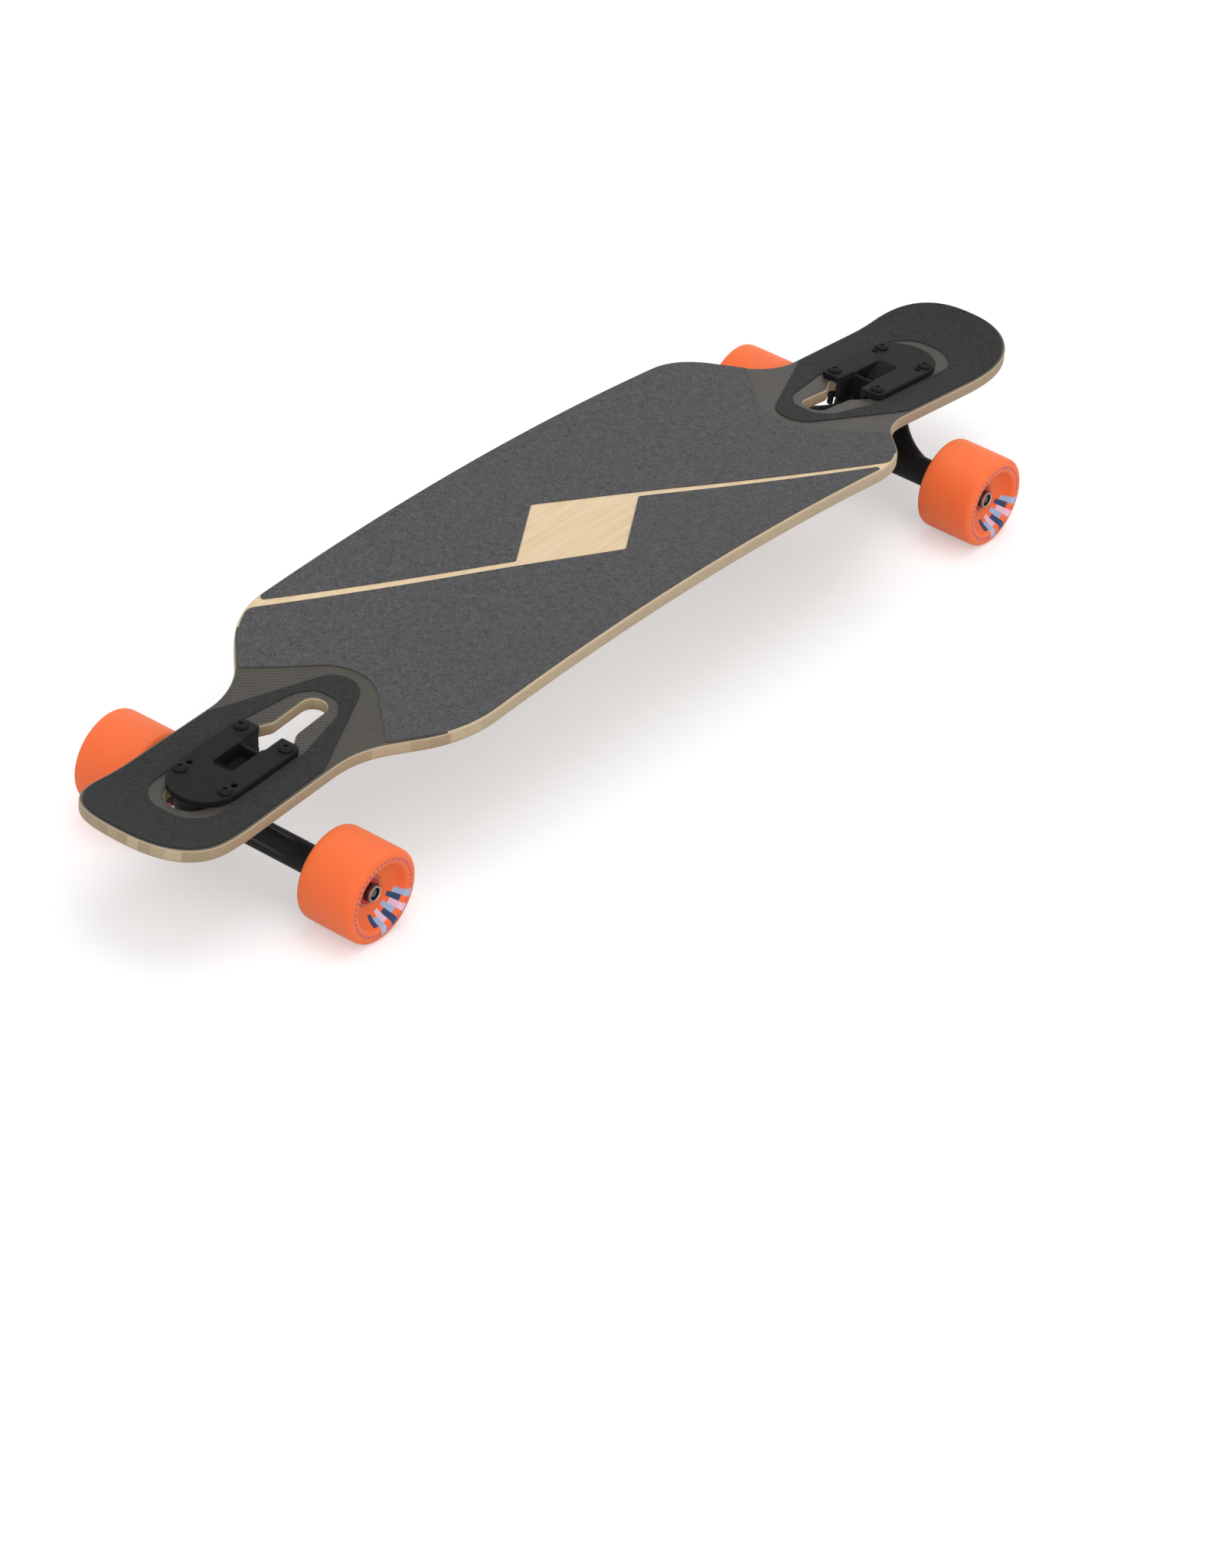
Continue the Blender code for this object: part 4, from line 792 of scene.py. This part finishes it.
# Truck bolts: four button-head screws with hexagon sockets through plate and deck, each with a flanged lock
# nut and its raised collar under the deck. They are zinc-blacked steel.

blackened = finish("zinc_blacked_steel", {"Specular IOR Level": 0.1})
rubbed = blackened.cloudy(1.0, 3.0)
blackened.set({"Base Color": blackened.mixed(rubbed, tone(20, 20, 20), tone(36, 36, 36))})
blackened.set({"Roughness": 0.5 + rubbed * 0.2})

BOLT_ALONG = 31.75
BOLT_ACROSS = 20.6375
BOLT_PLACES = {
    "inner_left": (-BOLT_ALONG, BOLT_ACROSS),
    "inner_right": (-BOLT_ALONG, -BOLT_ACROSS),
    "outer_left": (BOLT_ALONG, BOLT_ACROSS),
    "outer_right": (BOLT_ALONG, -BOLT_ACROSS),
}
SOCKET_WIDTH = 3.2
LOCK_NUT_WIDTH = 9
stem = [(0, -23), (2.0, -23), (2.4, -22.4), (2.4, 6.0)]
button = [(5.3, 6.0), (5.6, 6.3), (5.45, 6.9), (4.8, 7.6), (3.6, 8.15), (2.3, 8.3), (0, 8.3)]
flange = [(2.7, -11.1), (5.8, -11.1), (5.8, -11.9), (4.4, -12.6), (2.7, -12.6)]
lock_collar = [(2.7, -14), (3.9, -14), (3.9, -16.0), (3.4, -16.5), (2.7, -16.5)]
for end, turn in ENDS.items():
    for bolt, (x, y) in BOLT_PLACES.items():
        here = [turn, PLATE, Matrix.Translation((x * MM, y * MM, 0))]
        screw = carved(lathed(stem + button, here, steps=32), hexagon(SOCKET_WIDTH, 7.0, 10.0, 0, here))
        screw = shown(f"{end}_{bolt}_screw", screw, [blackened], crease=28)
        stands_for(screw, f"{end}_bolt_{bolt}")
        blank = hexagon(LOCK_NUT_WIDTH, -15.2, -12.0, 0.35, here)
        seat = lathed(flange, here, steps=32, soft=0.15)
        nut = joined(blank, seat, lathed(lock_collar, here, steps=32))
        nut = shown(f"{end}_{bolt}_locknut", nut, [blackened])
        stands_for(nut, f"{end}_lock_nut_{bolt}")


# Wheels: orange urethane cast round a hub and turned true, soft at the lips, with a bowl-shaped recess in
# each side. A plain band of dashes and a fan of blocks are pad-printed on the outer face.

DASHES_PER_RADIAN = 7.2
DASH_SHARE = 0.62
DASH_INNER = 28.6
DASH_OUTER = 30.9
DASH_FACE = 127.5
BLOCKS = 8
BLOCKS_PER_RADIAN = 5.2
FAN_TURN = 1.75
FAN_INNER = 18.5
FAN_OUTER = 25
FAN_FACE = 108
orange = finish("orange_urethane", {"Subsurface Weight": 0.7, "Subsurface Radius": (1.0, 0.1, 0.04)})
orange.set({"Subsurface Scale": 0.012, "Specular IOR Level": 0.4})
x, y, z = orange.place()
across = x - x.math("SIGN") * AXLE_X
up = z - AXLE_Z
reach = (across * across + up * up).math("SQRT")
angle = up.math("ARCTAN2", across)
haze = orange.cloudy(12, 2.0)
body = orange.mixed(haze, tone(255, 113, 52), tone(255, 119, 58))
dash = (angle * DASHES_PER_RADIAN).math("FRACT") < DASH_SHARE
dashed = dash * (reach > DASH_INNER) * (reach < DASH_OUTER) * (abs(y) > DASH_FACE)
printed = orange.mixed(dashed * 0.6, body, tone(136, 60, 120))
order = ((angle + FAN_TURN) * BLOCKS_PER_RADIAN).math("FLOOR")
inside_fan = (order > -0.5) * (order < BLOCKS - 0.5) * (abs(y) > FAN_FACE)
stagger = (order * 0.5).math("FRACT")
block = inside_fan * (reach > FAN_INNER + stagger * 6) * (reach < FAN_OUTER + stagger * 13)
third = (order / 3).math("FRACT")
pale_ink = orange.mixed(third > 0.5, tone(168, 190, 224), tone(232, 200, 222))
ink = orange.mixed(third > 0.2, tone(30, 62, 110), pale_ink)
orange.set({"Base Color": orange.mixed(block, printed, ink)})
orange.set({"Roughness": 0.46 + haze * 0.12})
orange.relief(haze, 0.1)

TRACK = 103.6
WHEEL_PLACES = {}
for end, way in (("nose", 1), ("tail", -1)):
    for side, hand in (("left", 1), ("right", -1)):
        centre = Matrix.Translation((way * AXLE_X * MM, hand * TRACK * MM, AXLE_Z * MM))
        WHEEL_PLACES[f"{end}_{side}"] = centre @ Matrix.Rotation(-hand * math.pi / 2, 4, "X")

outer_bowl = [(11.3, 4.7), (11.3, 12.6), (14, 12.6), (16.5, 12.9), (20, 14.5), (23.2, 17.8), (25.0, 21.5)]
outer_bowl += [(25.9, 23.9), (27.3, 24.65), (32.3, 24.65)]
outer_lip = [(34.7, 24.05), (36.1, 22.5), (36.5, 20.4)]
tread = [(36.5, 8), (36.5, -8)]
inner_lip = [(radius, -height) for radius, height in reversed(outer_lip)]
inner_bowl = [(32.3, -24.65), (30.0, -24.65), (28.8, -23.9), (27.9, -21.5), (26.0, -17.9)]
inner_bowl += [(22.5, -14.6), (17.5, -12.9), (14, -12.6), (11.3, -12.6), (11.3, -4.7)]
bore = [(8.6, -4.7), (8.6, 4.7)]
profile = outer_bowl + outer_lip + tread + inner_lip + inner_bowl + bore
for name, where in WHEEL_PLACES.items():
    tyre = shown(f"{name}_tyre", lathed(profile, [where]), [orange], crease=180)
    smooth = tyre.modifiers.new("poured", "SUBSURF")
    smooth.levels = smooth.render_levels = 1
    stands_for(tyre, f"{name}_wheel")


# Bearings: 22 mm shielded ball bearings, two in each hub, ground races round a sunk rubber seal.
# They are pushed in from both faces against the hub's shoulder.

seal = finish("rubber_seal", {"Roughness": 0.55})
moulded = seal.cloudy(1.5, 2.0)
seal.set({"Base Color": seal.mixed(moulded, tone(176, 40, 28), tone(198, 52, 34))})
SEAL_INNER = 5.9
SEAL_OUTER = 10.6
SEAL_FACE = 3.1
FROM_MIDDLE = Matrix.Translation((0, 0, 8.5 * MM))
races = [(4.3, -3.5), (11, -3.5), (11, 3.5), (SEAL_OUTER, 3.5), (SEAL_OUTER, SEAL_FACE)]
races += [(SEAL_INNER, SEAL_FACE), (SEAL_INNER, 3.5), (4.3, 3.5)]
for name, where in WHEEL_PLACES.items():
    for place, facing in (("outer", Matrix()), ("inner", Matrix.Rotation(math.pi, 4, "X"))):
        bearing = lathed(races, [], soft=0.12)
        for face in bearing.faces:
            middle = face.calc_center_median() / MM
            if SEAL_INNER < middle.xy.length < SEAL_OUTER and middle.z > SEAL_FACE - 0.2:
                face.material_index = 1
        bearing = placed(bearing, where, facing, FROM_MIDDLE)
        piece = shown(f"{name}_{place}_race", bearing, [bright_steel, seal])
        stands_for(piece, f"{name}_{place}_bearing")


# Axle nuts: dark 13 mm hexagon lock nuts run up to the outer bearing, each with a bright rolled collar that
# holds a plastic ring. The axle's end shows in the ring's middle.

dark_steel = finish("dark_plated_steel", {"Metallic": 1.0})
dulled = dark_steel.cloudy(1.2, 3.0)
dark_steel.set({"Base Color": dark_steel.mixed(dulled, tone(62, 58, 58), tone(98, 92, 90))})
dark_steel.set({"Roughness": 0.35 + dulled * 0.2})


def wearing(working, look):
    """The shape with every face in the finish of a number."""
    for face in working.faces:
        face.material_index = look
    return working


AXLE_NUT_WIDTH = 13
threaded_hole = [(0, 10), (4.3, 10), (4.3, 20), (0, 20)]
rolled_collar = [(5.2, 13), (6.0, 13), (6.0, 16.9), (5.8, 17.5), (5.4, 17.6), (5.2, 17.3)]
plastic_ring = [(4.3, 13), (5.15, 13), (5.15, 17.1), (4.3, 16.9)]
nut_looks = [dark_steel, bright_steel, black_plastic]
for name, where in WHEEL_PLACES.items():
    hole = lathed(threaded_hole, [where], steps=32)
    blank = carved(hexagon(AXLE_NUT_WIDTH, 12.3, 16.4, 0.5, [where]), hole)
    collar = wearing(lathed(rolled_collar, [where], steps=32), 1)
    insert = wearing(lathed(plastic_ring, [where], steps=32), 2)
    nut = shown(f"{name}_hexnut", joined(blank, collar, insert), nut_looks)
    stands_for(nut, f"{name}_axle_nut")
